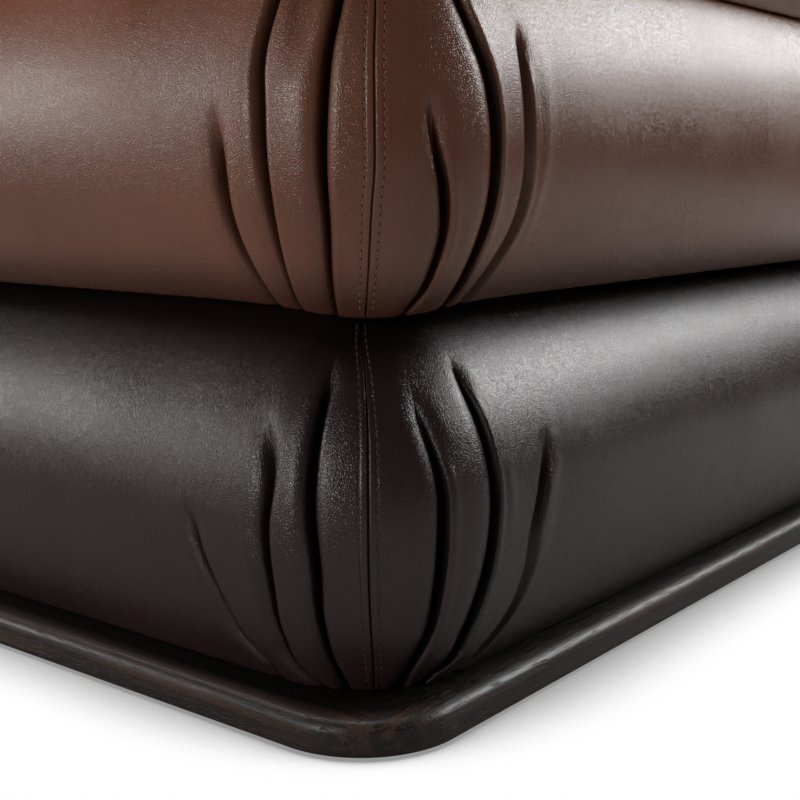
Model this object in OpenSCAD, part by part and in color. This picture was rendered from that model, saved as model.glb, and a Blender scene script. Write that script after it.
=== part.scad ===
/* [Overall plan] */
// Width of the wooden plinth, the widest piece
plinth_width = 980; // [900:5:1100]
// Depth of the plinth from front to back
plinth_depth = 940; // [880:5:1060]
// How far the plinth shows past the cushions at the front and the back
front_margin = 33; // [24:1:42]
// How far the plinth shows past the cushions at the sides
side_margin = 25; // [24:1:36]

/* [Plinth] */
// Thickness of the plinth
plinth_thickness = 20; // [18:1:26]
// Radius of the plinth's corners, seen from above
plinth_corner = 63; // [50:1:80]
// Radius of the rounded top edge
plinth_round = 8; // [4:0.5:9]
// Width of each mitred plinth rail
rail_width = 170; // [160:1:190]
// Thickness of the plywood deck inside the plinth
deck_thickness = 12; // [9:1:13]
// Width of the rabbet that carries the deck
rabbet_width = 15; // [12:1:20]
// Length of the loose tongue in each mitre
tongue_length = 70; // [50:1:80]
// Width of the loose tongue, across the mitre
tongue_width = 24; // [16:1:30]
// Thickness of the loose tongue
tongue_thickness = 6; // [4:0.5:7]
// Distance from the plinth's sharp corner to the middle of a tongue, along each edge
tongue_inset = 80; // [72:1:90]

/* [Glides] */
// How far the glides stand proud below the plinth
glide_proud = 2; // [1.5:0.5:4]
// Diameter of a glide's foot
glide_diameter = 40; // [30:1:50]
// Diameter of the spigot that is let into the plinth
glide_spigot = 30; // [22:1:34]
// Depth of that spigot
glide_recess = 6; // [4:0.5:8]
// Distance from a glide's middle to the front or back edge of the plinth
glide_edge_inset = 75; // [60:1:90]
// Distance from an outer glide's middle to the side edge of the plinth
glide_end_inset = 190; // [180:5:260]

/* [Base tier] */
// Height of the dark base cushion
base_height = 213; // [200:1:240]
// Distance from the seams of the base to the sides of the wooden carcass inside it
carcass_side_inset = 65; // [55:1:75]
// Distance from the seams of the base to the front and the back of the carcass
carcass_end_inset = 57; // [47:1:67]
// Height of the carcass
carcass_height = 150; // [130:1:165]
// Thickness of the carcass boards
board = 24; // [20:1:26]
// Length of the legs of the corner blocks
block_leg = 80; // [76:1:95]
// Height of the corner blocks
block_height = 60; // [50:1:80]
// Height of the middle stretcher
stretcher_height = 100; // [80:1:120]
// Width of one webbing strap
strap_width = 60; // [40:1:70]
// Thickness of the webbing
strap_thickness = 2; // [1:0.5:3]
// Number of webbing straps under the seat
base_straps = 7; // [5:1:8]

/* [Seat tier] */
// Height of the brown seat cushion
seat_height = 197; // [180:1:220]
// Thickness of the softer foam on top of the seat core
topper_thickness = 44; // [30:1:60]
// Rise of the seat's crown between the arms
seat_crown = 8; // [4:1:12]

/* [Arms and back] */
// Width of an arm
arm_width = 190; // [180:1:220]
// Height of an arm above the seat tier
arm_height = 185; // [160:1:210]
// Depth of the back
back_depth = 210; // [200:1:240]
// Height of the back above the seat tier
back_height = 360; // [300:1:420]
// Width of the wooden frame in an arm
arm_frame_width = 110; // [100:1:120]
// Depth of the wooden frame in the back
back_frame_depth = 90; // [80:1:100]
// Foam between a frame's ends and the cover
end_foam = 40; // [30:1:50]
// Foam between a frame's top and the cover
top_foam = 30; // [20:1:40]
// Number of webbing straps across the back frame
back_straps = 4; // [3:1:5]
// Width of the posts that tie the arms and the back to the carcass
post_width = 60; // [50:1:70]
// Thickness of these posts
post_thickness = 30; // [24:1:34]
// Distance from the front end of an arm's frame to the middle of its front post
front_post_inset = 163; // [130:1:200]
// Distance from the rear end of an arm's frame to the middle of its rear post
rear_post_inset = 60; // [60:1:90]
// Distance from the sides of the carcass to the middle of the back posts
back_post_inset = 170; // [150:5:240]

/* [Loose back cushion] */
// Room between the loose cushion and each arm
loose_side_gap = 3; // [1:1:10]
// Height of the loose cushion
loose_height = 340; // [300:5:380]
// Thickness of the loose cushion at its border
loose_thickness = 130; // [110:1:150]
// Rise of its front face
loose_crown = 28; // [15:1:40]
// Rise of its rear face
loose_rear_crown = 8; // [4:1:12]
// How far its border swells
loose_belly = 10; // [6:1:12]
// Distance from the sides of the loose cushion to the ends of its zip
zip_end_inset = 50; // [45:1:90]

/* [Leather forms] */
// Radius of the corners of the two lower cushions, seen from above
cushion_corner = 71; // [60:1:80]
// Radius of the corners of the arms, the back and the loose cushion
block_corner = 52; // [44:1:58]
// How far the sides of the lower cushions swell past their seams
belly = 22; // [12:1:22]
// How far the sides of the arms and the back swell
block_belly = 12; // [6:1:14]
// Distance between two pleats of the lower cushions where they open widest
pleat_pitch = 30; // [24:1:36]
// The same distance on the arms, the back and the loose cushion
block_pleat_pitch = 23; // [16:1:24]
// Depth of a pleat
pleat_depth = 6; // [3:0.5:7]
// Depth of the groove along the corner seam
seam_depth = 1.5; // [0.5:0.5:3]
// Cover and wadding at the sides of the lower cushions
cover_skin = 14; // [12:1:18]
// Cover and wadding on top of a cushion
cap_skin = 8; // [6:1:12]

/* [Fasteners] */
// Shank of the deck and glide screws
screw_shank = 4; // [3:0.5:5]
// Head of these screws
screw_head = 8; // [7:0.5:9]
// Thickness of their heads
screw_head_height = 2.5; // [2:0.5:3]
// Length of the deck screws
deck_screw_length = 17; // [15:1:18]
// Length of the glide screws
glide_screw_length = 14; // [12:1:16]
// Diameter of the dowels
dowel_diameter = 10; // [8:1:12]
// Depth of a dowel in a front or back rail
dowel_in_rail = 18; // [12:1:18]
// Depth of a dowel in the end of a side rail
dowel_in_end = 40; // [25:1:50]
// Shank of the lag bolts and of the post bolts
bolt_shank = 8; // [6:1:10]
// Width across flats of their hexagons
bolt_flats = 13; // [11:1:16]
// Thickness of their hexagons
bolt_hex_height = 6; // [4:0.5:7]
// Diameter of the washers
washer_diameter = 20; // [16:1:24]
// Thickness of the washers
washer_thickness = 2; // [1:0.5:3]
// How far the lag bolts run into the plinth
lag_bite = 15; // [10:1:16]

/* [Hidden] */

// Colours of the finishes
stained_oak = [0.16, 0.12, 0.11];
birch_ply = [0.76, 0.62, 0.45];
beech = [0.72, 0.52, 0.35];
dark_leather = [0.24, 0.20, 0.20];
brown_leather = [0.42, 0.29, 0.24];
foam_colour = [0.88, 0.84, 0.66];
wadding_white = [0.92, 0.92, 0.9];
webbing_colour = [0.25, 0.22, 0.2];
zinc = [0.7, 0.7, 0.68];
black_plastic = [0.08, 0.08, 0.08];

// Clearances and one overrun for every cut
fit_gap = 0.1;
foam_gap = 0.2;
soft_gap = 0.3;
overrun = 1;
smooth = 64;

// Heights of the tiers
plinth_top = glide_proud + plinth_thickness;
base_top = plinth_top + base_height;
seat_bottom = base_top + soft_gap;
seat_top = base_top + seat_height;
block_bottom = seat_top + soft_gap;

// Plan of the cushions
cushion_width = plinth_width - 2 * side_margin;
cushion_depth = plinth_depth - 2 * front_margin;
back_front = cushion_depth / 2 - back_depth;
arm_front = -cushion_depth / 2;
arm_rear = back_front - 2 * block_belly - soft_gap;
arm_length = arm_rear - arm_front;
arm_middle_y = (arm_rear + arm_front) / 2;
arm_middle_x = cushion_width / 2 - arm_width / 2;
arm_inside = cushion_width / 2 - arm_width;
back_middle_y = cushion_depth / 2 - back_depth / 2;

carcass_width = cushion_width - 2 * carcass_side_inset;
carcass_depth = cushion_depth - 2 * carcass_end_inset;
loose_width = 2 * (arm_inside - block_belly - loose_side_gap - loose_belly);
zip_length = loose_width - 2 * zip_end_inset;

// Cavities of the covers
cavity_width = cushion_width - 2 * cover_skin;
cavity_depth = cushion_depth - 2 * cover_skin;
cavity_corner = cushion_corner - cover_skin;
block_cavity_corner = block_corner - cover_skin;
base_cavity_top = base_top - cap_skin;
webbing_top = plinth_top + carcass_height + strap_thickness;

// Frames of the arms and the back
arm_frame_length = arm_length - 2 * cover_skin - 2 * end_foam;
arm_frame_height = arm_height - cap_skin - top_foam;
back_frame_width = cushion_width - 2 * cover_skin - 2 * end_foam;
back_frame_height = back_height - cap_skin - top_foam;

// Shares of a form's height at which its rings lie
level_shares = [0, 0.05, 0.18, 0.38, 0.6, 0.8, 0.94, 1];
// Roundness of a form's sides
side_power_share = 0.6;
// Stations of each corner on each side of its seam: ridges at odd ones, pleats at even ones
stations = 7;
// Shares of the outline at which the rings of a flat and of the seat's top lie
plain_cap_shares = [0.85, 0.5];
seat_cap_shares = [0.58, 0.36, 0.16];

// Point of a rounded corner's outline, s along it from the corner's middle
function corner_arc(radius) = radius * PI / 4;
function corner_turn(s, radius) = min(45, max(-45, s / radius * 180 / PI));
function corner_run(s, radius) = max(0, abs(s) - corner_arc(radius));
function corner_point(s, radius) =
    let (turn = corner_turn(s, radius), run = corner_run(s, radius))
    radius * [cos(45 + turn) - 1, sin(45 + turn) - 1] + (s > 0 ? [-run, 0] : [0, -run]);
function corner_normal(s, radius) =
    [cos(45 + corner_turn(s, radius)), sin(45 + corner_turn(s, radius))];
function turned(p, quarter) =
    [cos(90 * quarter) * p.x - sin(90 * quarter) * p.y,
     sin(90 * quarter) * p.x + cos(90 * quarter) * p.y];
function sharp_corner(size, quarter) =
    [(quarter == 0 || quarter == 3 ? 1 : -1) * size.x / 2, (quarter < 2 ? 1 : -1) * size.y / 2];

// Swell of a side at a share t of its height, highest where t to the power skew is a half
function swell(t, skew) = pow(max(0, sin(180 * pow(t, skew))), side_power_share);
// Share of a bottom and a top value left at a share t of the height
function from_ends(t, low, high) = low * pow(1 - t, 2) + high * pow(t, 2);
// Height of a crown over a point of the plan
function crown_rise(p, crown, middle, half) =
    crown * max(0, 1 - pow((p.x - middle.x) / half.x, 2))
          * max(0, 1 - pow((p.y - middle.y) / half.y, 2));

// How far a station lies past the seam line, at a share t of the height
function station_out(i, t, swelling, skew, low, high) =
    swelling * swell(t, skew)
    - (i == 0 ? seam_depth : i % 2 == 0 ? pleat_depth * from_ends(t, low, high) : 0);
// Spread of the stations at a share t of the height: pleats gather where a seam holds them
function station_spread(t, low, high) = 1 - from_ends(t, low, high) / 2;
function form_ring(size, radius, pitch, swelling, skew, low, high, t) =
    [for (quarter = [0:3])
        for (i = [-stations:stations])
            let (s = i * pitch / 2 * station_spread(t, low, high),
                 out = station_out(i, t, swelling, skew, low, high),
                 flat = turned(corner_point(s, radius) + out * corner_normal(s, radius), quarter))
            sharp_corner(size, quarter) + flat];

// Closed body of a sewn cushion with pleated corners. Its outline is size, its swell, pleats
// and gathers are worked out ring by ring, and its two caps carry the crowns.
// low and high: how strongly the corners are gathered at the bottom and at the top, 0 to 1
// skirt: how far the lowest ring lies below zero, for a form that is cut open there
module cushion_form(size, radius, pitch, swelling, skew, low, high, cap_shares,
                    crown = 0, crown_middle = [0, 0], crown_half = [1, 1], under_crown = 0,
                    skirt = 0) {
    count = 4 * (2 * stations + 1);
    side_rings = [for (t = level_shares)
        [for (p = form_ring(size, radius, pitch, swelling, skew, low, high, t))
            [p.x, p.y, t > 0 ? t * size.z : -skirt]]];
    rim = form_ring(size, radius, pitch, swelling, skew, low, high, 1);
    foot = form_ring(size, radius, pitch, swelling, skew, low, high, 0);
    top_rings = [for (share = cap_shares)
        [for (p = rim)
            let (q = crown_middle + (p - crown_middle) * share)
            [q.x, q.y, size.z + crown_rise(q, crown, crown_middle, crown_half)]]];
    under_shares = under_crown > 0 ? [for (k = [len(cap_shares) - 1:-1:0]) cap_shares[k]] : [];
    under_rings = [for (share = under_shares)
        [for (p = foot)
            let (q = p * share)
            [q.x, q.y, -crown_rise(q, under_crown, [0, 0], crown_half)]]];
    rings = concat(under_rings, side_rings, top_rings);
    last = len(rings) - 1;
    top_middle = [crown_middle.x, crown_middle.y, size.z + crown];
    low_middle = [0, 0, -under_crown - skirt];
    points = concat([for (ring = rings) for (p = ring) p], [low_middle, top_middle]);
    low_tip = len(rings) * count;
    high_tip = low_tip + 1;
    wall_faces = [for (r = [0:last - 1]) for (j = [0:count - 1])
        let (a = r * count + j, b = r * count + (j + 1) % count, c = b + count, d = a + count)
        each [[a, c, b], [a, d, c]]];
    low_faces = [for (j = [0:count - 1]) [low_tip, j, (j + 1) % count]];
    high_faces = [for (j = [0:count - 1])
        [high_tip, last * count + (j + 1) % count, last * count + j]];
    polyhedron(points = points, faces = concat(wall_faces, low_faces, high_faces));
}

// Space under a cover that is open at its bottom, from z = 0 downwards
module below_cover() {
    translate([0, 0, -3 * overrun]) standing_block([plinth_width, plinth_depth, 3 * overrun]);
}

// Block with upright rounded corners, its middle over the origin
module rounded_block(size, radius) {
    linear_extrude(height = size.z) {
        square([size.x, size.y - 2 * radius], center = true);
        square([size.x - 2 * radius, size.y], center = true);
        for (x = [-1, 1]) for (y = [-1, 1])
            translate([x * (size.x / 2 - radius), y * (size.y / 2 - radius)])
                circle(r = radius, $fn = smooth);
    }
}
module standing_block(size) {
    translate([-size.x / 2, -size.y / 2, 0]) cube(size);
}

// Section of a plinth rail: its outer edge at zero, rounded on top
module rail_section() {
    square([plinth_corner, plinth_thickness - plinth_round]);
    translate([plinth_round, 0]) square([plinth_corner - plinth_round, plinth_thickness]);
    translate([plinth_round, plinth_thickness - plinth_round])
        circle(r = plinth_round, $fn = smooth);
}
// Rail along X with its outer edge on y = 0, mitred at both ends
module rail_blank(length) {
    straight = length - 2 * plinth_corner;
    translate([-straight / 2, 0, 0]) rotate([90, 0, 90])
        linear_extrude(height = straight) rail_section();
    for (side = [0, 1]) mirror([side, 0, 0])
        translate([straight / 2, plinth_corner, 0]) rotate([0, 0, -90])
            rotate_extrude(angle = 45, $fn = smooth)
                translate([plinth_corner, 0]) mirror([1, 0]) rail_section();
    linear_extrude(height = plinth_thickness)
        polygon([[-straight / 2, plinth_corner], [straight / 2, plinth_corner],
                 [length / 2 - rail_width, rail_width], [rail_width - length / 2, rail_width]]);
}
module tongue(gap) {
    rotate([0, 0, -45])
        translate([-tongue_length / 2 - gap, -tongue_width / 2 - gap,
                   plinth_thickness / 2 - tongue_thickness / 2 - gap])
            cube([tongue_length + 2 * gap, tongue_width + 2 * gap, tongue_thickness + 2 * gap]);
}
// Rail with the cuts for the deck, the tongues and the deck screws
module plinth_rail(length) {
    difference() {
        rail_blank(length);
        translate([-length / 2, rail_width - rabbet_width, plinth_thickness - deck_thickness])
            cube([length, rabbet_width + overrun, deck_thickness + overrun]);
        for (side = [0, 1]) mirror([side, 0, 0])
            translate([length / 2 - tongue_inset, tongue_inset, 0]) tongue(fit_gap);
        for (side = [-1, 1])
            translate([side * length / 4, rail_width - rabbet_width / 2,
                       plinth_thickness - deck_screw_length - fit_gap])
                cylinder(d = screw_shank + 2 * fit_gap, h = deck_screw_length, $fn = smooth);
    }
}
module long_rail() {
    difference() {
        translate([0, -plinth_depth / 2, glide_proud]) plinth_rail(plinth_width);
        glide_places() glide_hole();
        lag_places() lag_hole();
    }
}
module short_rail() {
    difference() {
        rotate([0, 0, 90])
            translate([0, -plinth_width / 2, glide_proud]) plinth_rail(plinth_depth);
        lag_places() lag_hole();
    }
}
module plinth_rail_front() {
    color(stained_oak) long_rail();
}
module plinth_rail_back() {
    color(stained_oak) rotate([0, 0, 180]) long_rail();
}
module plinth_rail_right() {
    color(stained_oak) short_rail();
}
module plinth_rail_left() {
    color(stained_oak) rotate([0, 0, 180]) short_rail();
}
module plinth_tongues() {
    color(beech)
        for (x = [0, 1]) for (y = [0, 1]) mirror([x, 0, 0]) mirror([0, y, 0])
            translate([plinth_width / 2 - tongue_inset, tongue_inset - plinth_depth / 2,
                       glide_proud])
                tongue(0);
}

// Places of the deck screws, on the middle of the rabbet
module deck_screw_places() {
    across = plinth_depth / 2 - rail_width + rabbet_width / 2;
    along = plinth_width / 2 - rail_width + rabbet_width / 2;
    for (side = [-1, 1]) for (end = [-1, 1]) {
        translate([side * plinth_width / 4, end * across, plinth_top]) children();
        translate([end * along, side * plinth_depth / 4, plinth_top]) children();
    }
}
// Countersunk screw, its head flush with z = 0 and its shank downwards
module sunk_screw(length, gap) {
    translate([0, 0, -length - gap])
        cylinder(d = screw_shank + 2 * gap, h = length + gap, $fn = smooth);
    translate([0, 0, -screw_head_height])
        cylinder(d1 = screw_shank + 2 * gap, d2 = screw_head + 2 * gap, h = screw_head_height,
                 $fn = smooth);
}
module plinth_deck() {
    color(birch_ply) difference() {
        translate([0, 0, plinth_top - deck_thickness])
            standing_block([plinth_width - 2 * (rail_width - rabbet_width + fit_gap),
                            plinth_depth - 2 * (rail_width - rabbet_width + fit_gap),
                            deck_thickness]);
        deck_screw_places() {
            sunk_screw(deck_screw_length, fit_gap);
            translate([0, 0, -fit_gap])
                cylinder(d = screw_head + 2 * fit_gap, h = overrun, $fn = smooth);
        }
    }
}
module deck_screws() {
    color(zinc) deck_screw_places() sunk_screw(deck_screw_length, 0);
}

// Glides under the front and back rails, each held by a screw from below
module glide_places() {
    for (x = [-1, 0, 1]) for (y = [-1, 1])
        translate([x * (plinth_width / 2 - glide_end_inset),
                   y * (plinth_depth / 2 - glide_edge_inset), 0])
            children();
}
glide_pocket = glide_proud + glide_recess - screw_head_height;
module glide_hole() {
    translate([0, 0, glide_proud - overrun])
        cylinder(d = glide_spigot + 2 * fit_gap, h = glide_recess + fit_gap + overrun,
                 $fn = smooth);
    translate([0, 0, glide_proud])
        cylinder(d = screw_shank + 2 * fit_gap,
                 h = glide_pocket - glide_proud + glide_screw_length + fit_gap, $fn = smooth);
}
module glides() {
    color(black_plastic) glide_places() difference() {
        union() {
            cylinder(d = glide_diameter, h = glide_proud, $fn = smooth);
            cylinder(d = glide_spigot, h = glide_proud + glide_recess, $fn = smooth);
        }
        translate([0, 0, -overrun])
            cylinder(d = screw_head + 4 * fit_gap, h = glide_pocket + overrun, $fn = smooth);
        cylinder(d = screw_shank + 2 * fit_gap, h = glide_proud + glide_recess + overrun,
                 $fn = smooth);
    }
}
module glide_screws() {
    color(zinc) glide_places() {
        translate([0, 0, glide_pocket - screw_head_height])
            cylinder(d = screw_head, h = screw_head_height, $fn = smooth);
        translate([0, 0, glide_pocket - screw_head_height / 2])
            cylinder(d = screw_shank, h = glide_screw_length + screw_head_height / 2,
                     $fn = smooth);
    }
}

// Carcass of the base: two long rails, two short rails between them and a middle stretcher
inner_depth = carcass_depth - 2 * board;
dowel_shares = [0.2, 0.5, 0.8];
module dowel_places() {
    for (y = [0, 1]) mirror([0, y, 0]) {
        for (x = [-1, 1]) for (share = dowel_shares)
            translate([x * (carcass_width / 2 - board / 2), -inner_depth / 2,
                       plinth_top + share * carcass_height])
                children();
        for (share = dowel_shares)
            translate([0, -inner_depth / 2, plinth_top + share * stretcher_height]) children();
    }
}
module dowel(gap) {
    translate([0, -dowel_in_rail - gap, 0]) rotate([-90, 0, 0])
        cylinder(d = dowel_diameter + 2 * gap, h = dowel_in_rail + dowel_in_end + 2 * gap,
                 $fn = smooth);
}
module carcass_dowels() {
    color(beech) dowel_places() dowel(0);
}
module long_carcass_rail() {
    translate([0, (board - carcass_depth) / 2, plinth_top])
        standing_block([carcass_width, board, carcass_height]);
}
module short_carcass_rail() {
    translate([(carcass_width - board) / 2, 0, plinth_top])
        standing_block([board, inner_depth, carcass_height]);
}
module drilled_carcass() {
    difference() {
        children();
        dowel_places() dowel(fit_gap);
        post_bolt_places() bolt_hole();
    }
}
module base_rail_front() {
    color(beech) drilled_carcass() long_carcass_rail();
}
module base_rail_back() {
    color(beech) drilled_carcass() mirror([0, 1, 0]) long_carcass_rail();
}
module base_rail_right() {
    color(beech) drilled_carcass() short_carcass_rail();
}
module base_rail_left() {
    color(beech) drilled_carcass() mirror([1, 0, 0]) short_carcass_rail();
}
module base_stretcher() {
    color(beech) drilled_carcass()
        translate([0, 0, plinth_top]) standing_block([board, inner_depth, stretcher_height]);
}

// Corner blocks and the lag bolts that hold the carcass down on the plinth
lag_side_share = 0.24;
lag_end_share = 0.5;
module carcass_corners() {
    for (x = [0, 1]) for (y = [0, 1]) mirror([x, 0, 0]) mirror([0, y, 0])
        translate([carcass_width / 2 - board, board - carcass_depth / 2, 0]) children();
}
module lag_places() {
    carcass_corners()
        translate([-lag_side_share * block_leg, lag_end_share * block_leg, 0]) children();
}
module lag_hole() {
    translate([0, 0, plinth_top - lag_bite - fit_gap])
        cylinder(d = bolt_shank + 2 * fit_gap, h = lag_bite + block_height + overrun,
                 $fn = smooth);
}
module corner_blocks() {
    color(beech) difference() {
        carcass_corners() translate([0, 0, plinth_top]) linear_extrude(height = block_height)
            polygon([[0, 0], [0, block_leg], [-block_leg, 0]]);
        lag_places() lag_hole();
    }
}
module hexagon(height) {
    cylinder(d = bolt_flats / cos(30), h = height, $fn = 6);
}
module lag_bolts() {
    color(zinc) lag_places() {
        translate([0, 0, plinth_top + block_height + washer_thickness]) hexagon(bolt_hex_height);
        translate([0, 0, plinth_top - lag_bite])
            cylinder(d = bolt_shank, h = lag_bite + block_height + washer_thickness + overrun,
                     $fn = smooth);
    }
}
module lag_washers() {
    color(zinc) lag_places() translate([0, 0, plinth_top + block_height]) difference() {
        cylinder(d = washer_diameter, h = washer_thickness, $fn = smooth);
        translate([0, 0, -overrun])
            cylinder(d = bolt_shank + 2 * fit_gap, h = washer_thickness + 2 * overrun,
                     $fn = smooth);
    }
}

// Webbing, foam and cover of the base
module base_webbing() {
    pitch = inner_depth / base_straps;
    color(webbing_colour) for (k = [0:base_straps - 1])
        translate([0, (k + 0.5) * pitch - inner_depth / 2, plinth_top + carcass_height])
            difference() {
                standing_block([carcass_width, strap_width, strap_thickness]);
                translate([0, inner_depth / 2 - (k + 0.5) * pitch, 0]) post_cuts(-overrun);
            }
}
module base_foam_slab() {
    color(foam_colour) difference() {
        translate([0, 0, webbing_top])
            standing_block([carcass_width, carcass_depth, base_cavity_top - webbing_top]);
        post_cuts(0);
    }
}
module base_foam_wall() {
    color(foam_colour) difference() {
        translate([0, 0, plinth_top])
            rounded_block([cavity_width - 2 * foam_gap, cavity_depth - 2 * foam_gap,
                           base_cavity_top - plinth_top], cavity_corner);
        translate([0, 0, plinth_top - overrun])
            standing_block([carcass_width, carcass_depth, base_height]);
        post_bolt_places() bolt_head(foam_gap);
    }
}
module base_cover() {
    color(dark_leather) difference() {
        translate([0, 0, plinth_top])
            cushion_form([cushion_width, cushion_depth, base_height], cushion_corner,
                         pleat_pitch, belly, base_skew_share, 1, base_top_share, plain_cap_shares,
                         skirt = overrun);
        translate([0, 0, plinth_top]) below_cover();
        translate([0, 0, plinth_top - 2 * overrun])
            rounded_block([cavity_width, cavity_depth,
                           base_cavity_top - plinth_top + 2 * overrun], cavity_corner);
        post_cuts(0);
    }
}
// The base swells most above its middle and is gathered at its bottom only
base_skew_share = 1.4;
base_top_share = 0.15;
// The other forms are gathered at both ends
even_skew_share = 1;
upper_gather_share = 0.8;

// Seat tier
seat_cavity_top = seat_top - cap_skin;
seat_middle_y = (back_front + arm_front) / 2;
// The seat is level under the arms and the back: its crown ends on the first ring of its top
seat_crown_half = seat_cap_shares[0] * [cushion_width / 2, back_front - seat_middle_y];
module seat_core_foam() {
    color(foam_colour) difference() {
        translate([0, 0, seat_bottom])
            rounded_block([cavity_width - 2 * foam_gap, cavity_depth - 2 * foam_gap,
                           seat_cavity_top - topper_thickness - seat_bottom],
                          cavity_corner);
        post_cuts(0);
    }
}
module seat_topper() {
    color(wadding_white) difference() {
        translate([0, 0, seat_cavity_top - topper_thickness])
            rounded_block([cavity_width - 2 * foam_gap, cavity_depth - 2 * foam_gap,
                           topper_thickness], cavity_corner);
        post_cuts(0);
    }
}
module seat_cover() {
    color(brown_leather) difference() {
        translate([0, 0, seat_bottom])
            cushion_form([cushion_width, cushion_depth, seat_top - seat_bottom], cushion_corner,
                         pleat_pitch, belly, even_skew_share, 1, upper_gather_share, seat_cap_shares,
                         seat_crown, [0, seat_middle_y], seat_crown_half, skirt = overrun);
        translate([0, 0, seat_bottom]) below_cover();
        translate([0, 0, seat_bottom - 2 * overrun])
            rounded_block([cavity_width, cavity_depth,
                           seat_cavity_top - seat_bottom + 2 * overrun], cavity_corner);
        post_cuts(0);
    }
}

// Posts that tie the arms and the back to the carcass
arm_post_x = carcass_width / 2 - board - post_thickness / 2;
back_post_y = inner_depth / 2 - post_thickness / 2;
back_post_x = carcass_width / 2 - back_post_inset;
arm_post_rows = [arm_front + cover_skin + end_foam + front_post_inset,
                 arm_rear - cover_skin - end_foam - rear_post_inset];
arm_post_top = block_bottom + arm_frame_height - board;
back_post_top = block_bottom + back_frame_height - board;
module arm_post_places() {
    for (x = [-1, 1]) for (y = arm_post_rows) translate([x * arm_post_x, y, 0]) children();
}
module back_post_places() {
    for (x = [-1, 1]) translate([x * back_post_x, back_post_y, 0]) children();
}
module drilled_posts() {
    difference() {
        children();
        post_bolt_places() bolt_hole();
    }
}
module arm_posts() {
    color(beech) drilled_posts() arm_post_places() translate([0, 0, plinth_top])
        standing_block([post_thickness, post_width, arm_post_top - plinth_top]);
}
module back_posts() {
    color(beech) drilled_posts() back_post_places() translate([0, 0, plinth_top])
        standing_block([post_width, post_thickness, back_post_top - plinth_top]);
}
// Room for the posts in the foam and the covers, from the height given upwards
module post_cuts(from) {
    arm_post_places() translate([0, 0, from])
        standing_block([post_thickness + 2 * foam_gap, post_width + 2 * foam_gap,
                        arm_post_top - from]);
    back_post_places() translate([0, 0, from])
        standing_block([post_width + 2 * foam_gap, post_thickness + 2 * foam_gap,
                        back_post_top - from]);
}

// Bolts through the carcass rails and the posts: each lies along X, its head at zero
post_bolt_shares = [0.3, 0.75];
bolt_grip = board + post_thickness;
module post_bolt_places() {
    for (share = post_bolt_shares) {
        for (x = [0, 1]) mirror([x, 0, 0]) for (y = arm_post_rows)
            translate([carcass_width / 2, y, plinth_top + share * carcass_height])
                rotate([0, 0, 180]) children();
        for (x = [-1, 1])
            translate([x * back_post_x, carcass_depth / 2,
                       plinth_top + share * carcass_height])
                rotate([0, 0, -90]) children();
    }
}
module bolt_hole() {
    translate([-overrun, 0, 0]) rotate([0, 90, 0])
        cylinder(d = bolt_shank + 2 * fit_gap, h = bolt_grip + 2 * overrun, $fn = smooth);
}
module bolt_head(gap) {
    translate([-washer_thickness - bolt_hex_height - gap, 0, 0]) rotate([0, 90, 0])
        cylinder(d = washer_diameter + 2 * gap, h = washer_thickness + bolt_hex_height + gap,
                 $fn = smooth);
}
module post_bolts() {
    color(zinc) post_bolt_places() {
        translate([-washer_thickness, 0, 0]) rotate([0, 90, 0])
            cylinder(d = washer_diameter, h = washer_thickness, $fn = smooth);
        translate([-washer_thickness - bolt_hex_height, 0, 0]) rotate([0, 90, 0])
            hexagon(bolt_hex_height);
        translate([-washer_thickness, 0, 0]) rotate([0, 90, 0])
            cylinder(d = bolt_shank, h = bolt_grip + 2 * washer_thickness + bolt_hex_height,
                     $fn = smooth);
    }
}
module post_nuts() {
    color(zinc) post_bolt_places() translate([bolt_grip, 0, 0]) rotate([0, 90, 0])
        difference() {
            hexagon(bolt_hex_height);
            translate([0, 0, -overrun])
                cylinder(d = bolt_shank + 2 * fit_gap, h = bolt_hex_height + 2 * overrun,
                         $fn = smooth);
        }
}

// Arms: a box of boards on the seat tier, wrapped in foam and covered
module arm_side(side) {
    mirror([side < 0 ? 1 : 0, 0, 0]) translate([arm_middle_x, arm_middle_y, 0]) children();
}
module arm_base_board(side) {
    color(beech) difference() {
        arm_side(side) translate([0, 0, block_bottom])
            standing_block([arm_frame_width, arm_frame_length, board]);
        post_cuts(0);
    }
}
module arm_end_boards(side) {
    color(beech) arm_side(side) for (y = [-1, 1])
        translate([0, y * (arm_frame_length - board) / 2, block_bottom + board])
            standing_block([arm_frame_width, board, arm_frame_height - 2 * board]);
}
module arm_top_board(side) {
    color(beech) arm_side(side) translate([0, 0, block_bottom + arm_frame_height - board])
        standing_block([arm_frame_width, arm_frame_length, board]);
}
module arm_foam(side) {
    color(foam_colour) arm_side(side) translate([0, 0, block_bottom]) difference() {
        rounded_block([arm_width - 2 * (cover_skin + foam_gap),
                       arm_length - 2 * (cover_skin + foam_gap), arm_height - cap_skin],
                      block_cavity_corner);
        translate([0, 0, -overrun])
            standing_block([arm_frame_width, arm_frame_length, arm_frame_height + overrun]);
    }
}
module arm_cover(side) {
    color(brown_leather) difference() {
        arm_side(side) translate([0, 0, block_bottom])
            cushion_form([arm_width, arm_length, arm_height], block_corner, block_pleat_pitch,
                         block_belly, even_skew_share, 1, upper_gather_share, plain_cap_shares,
                         seat_crown, [0, 0], [arm_width / 2, arm_length / 2],
                         skirt = overrun);
        translate([0, 0, block_bottom]) below_cover();
        arm_side(side) translate([0, 0, block_bottom - 2 * overrun])
            rounded_block([arm_width - 2 * cover_skin, arm_length - 2 * cover_skin,
                           arm_height - cap_skin + 2 * overrun], block_cavity_corner);
    }
}
module arm_base_board_left() { arm_base_board(-1); }
module arm_base_board_right() { arm_base_board(1); }
module arm_end_boards_left() { arm_end_boards(-1); }
module arm_end_boards_right() { arm_end_boards(1); }
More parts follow.
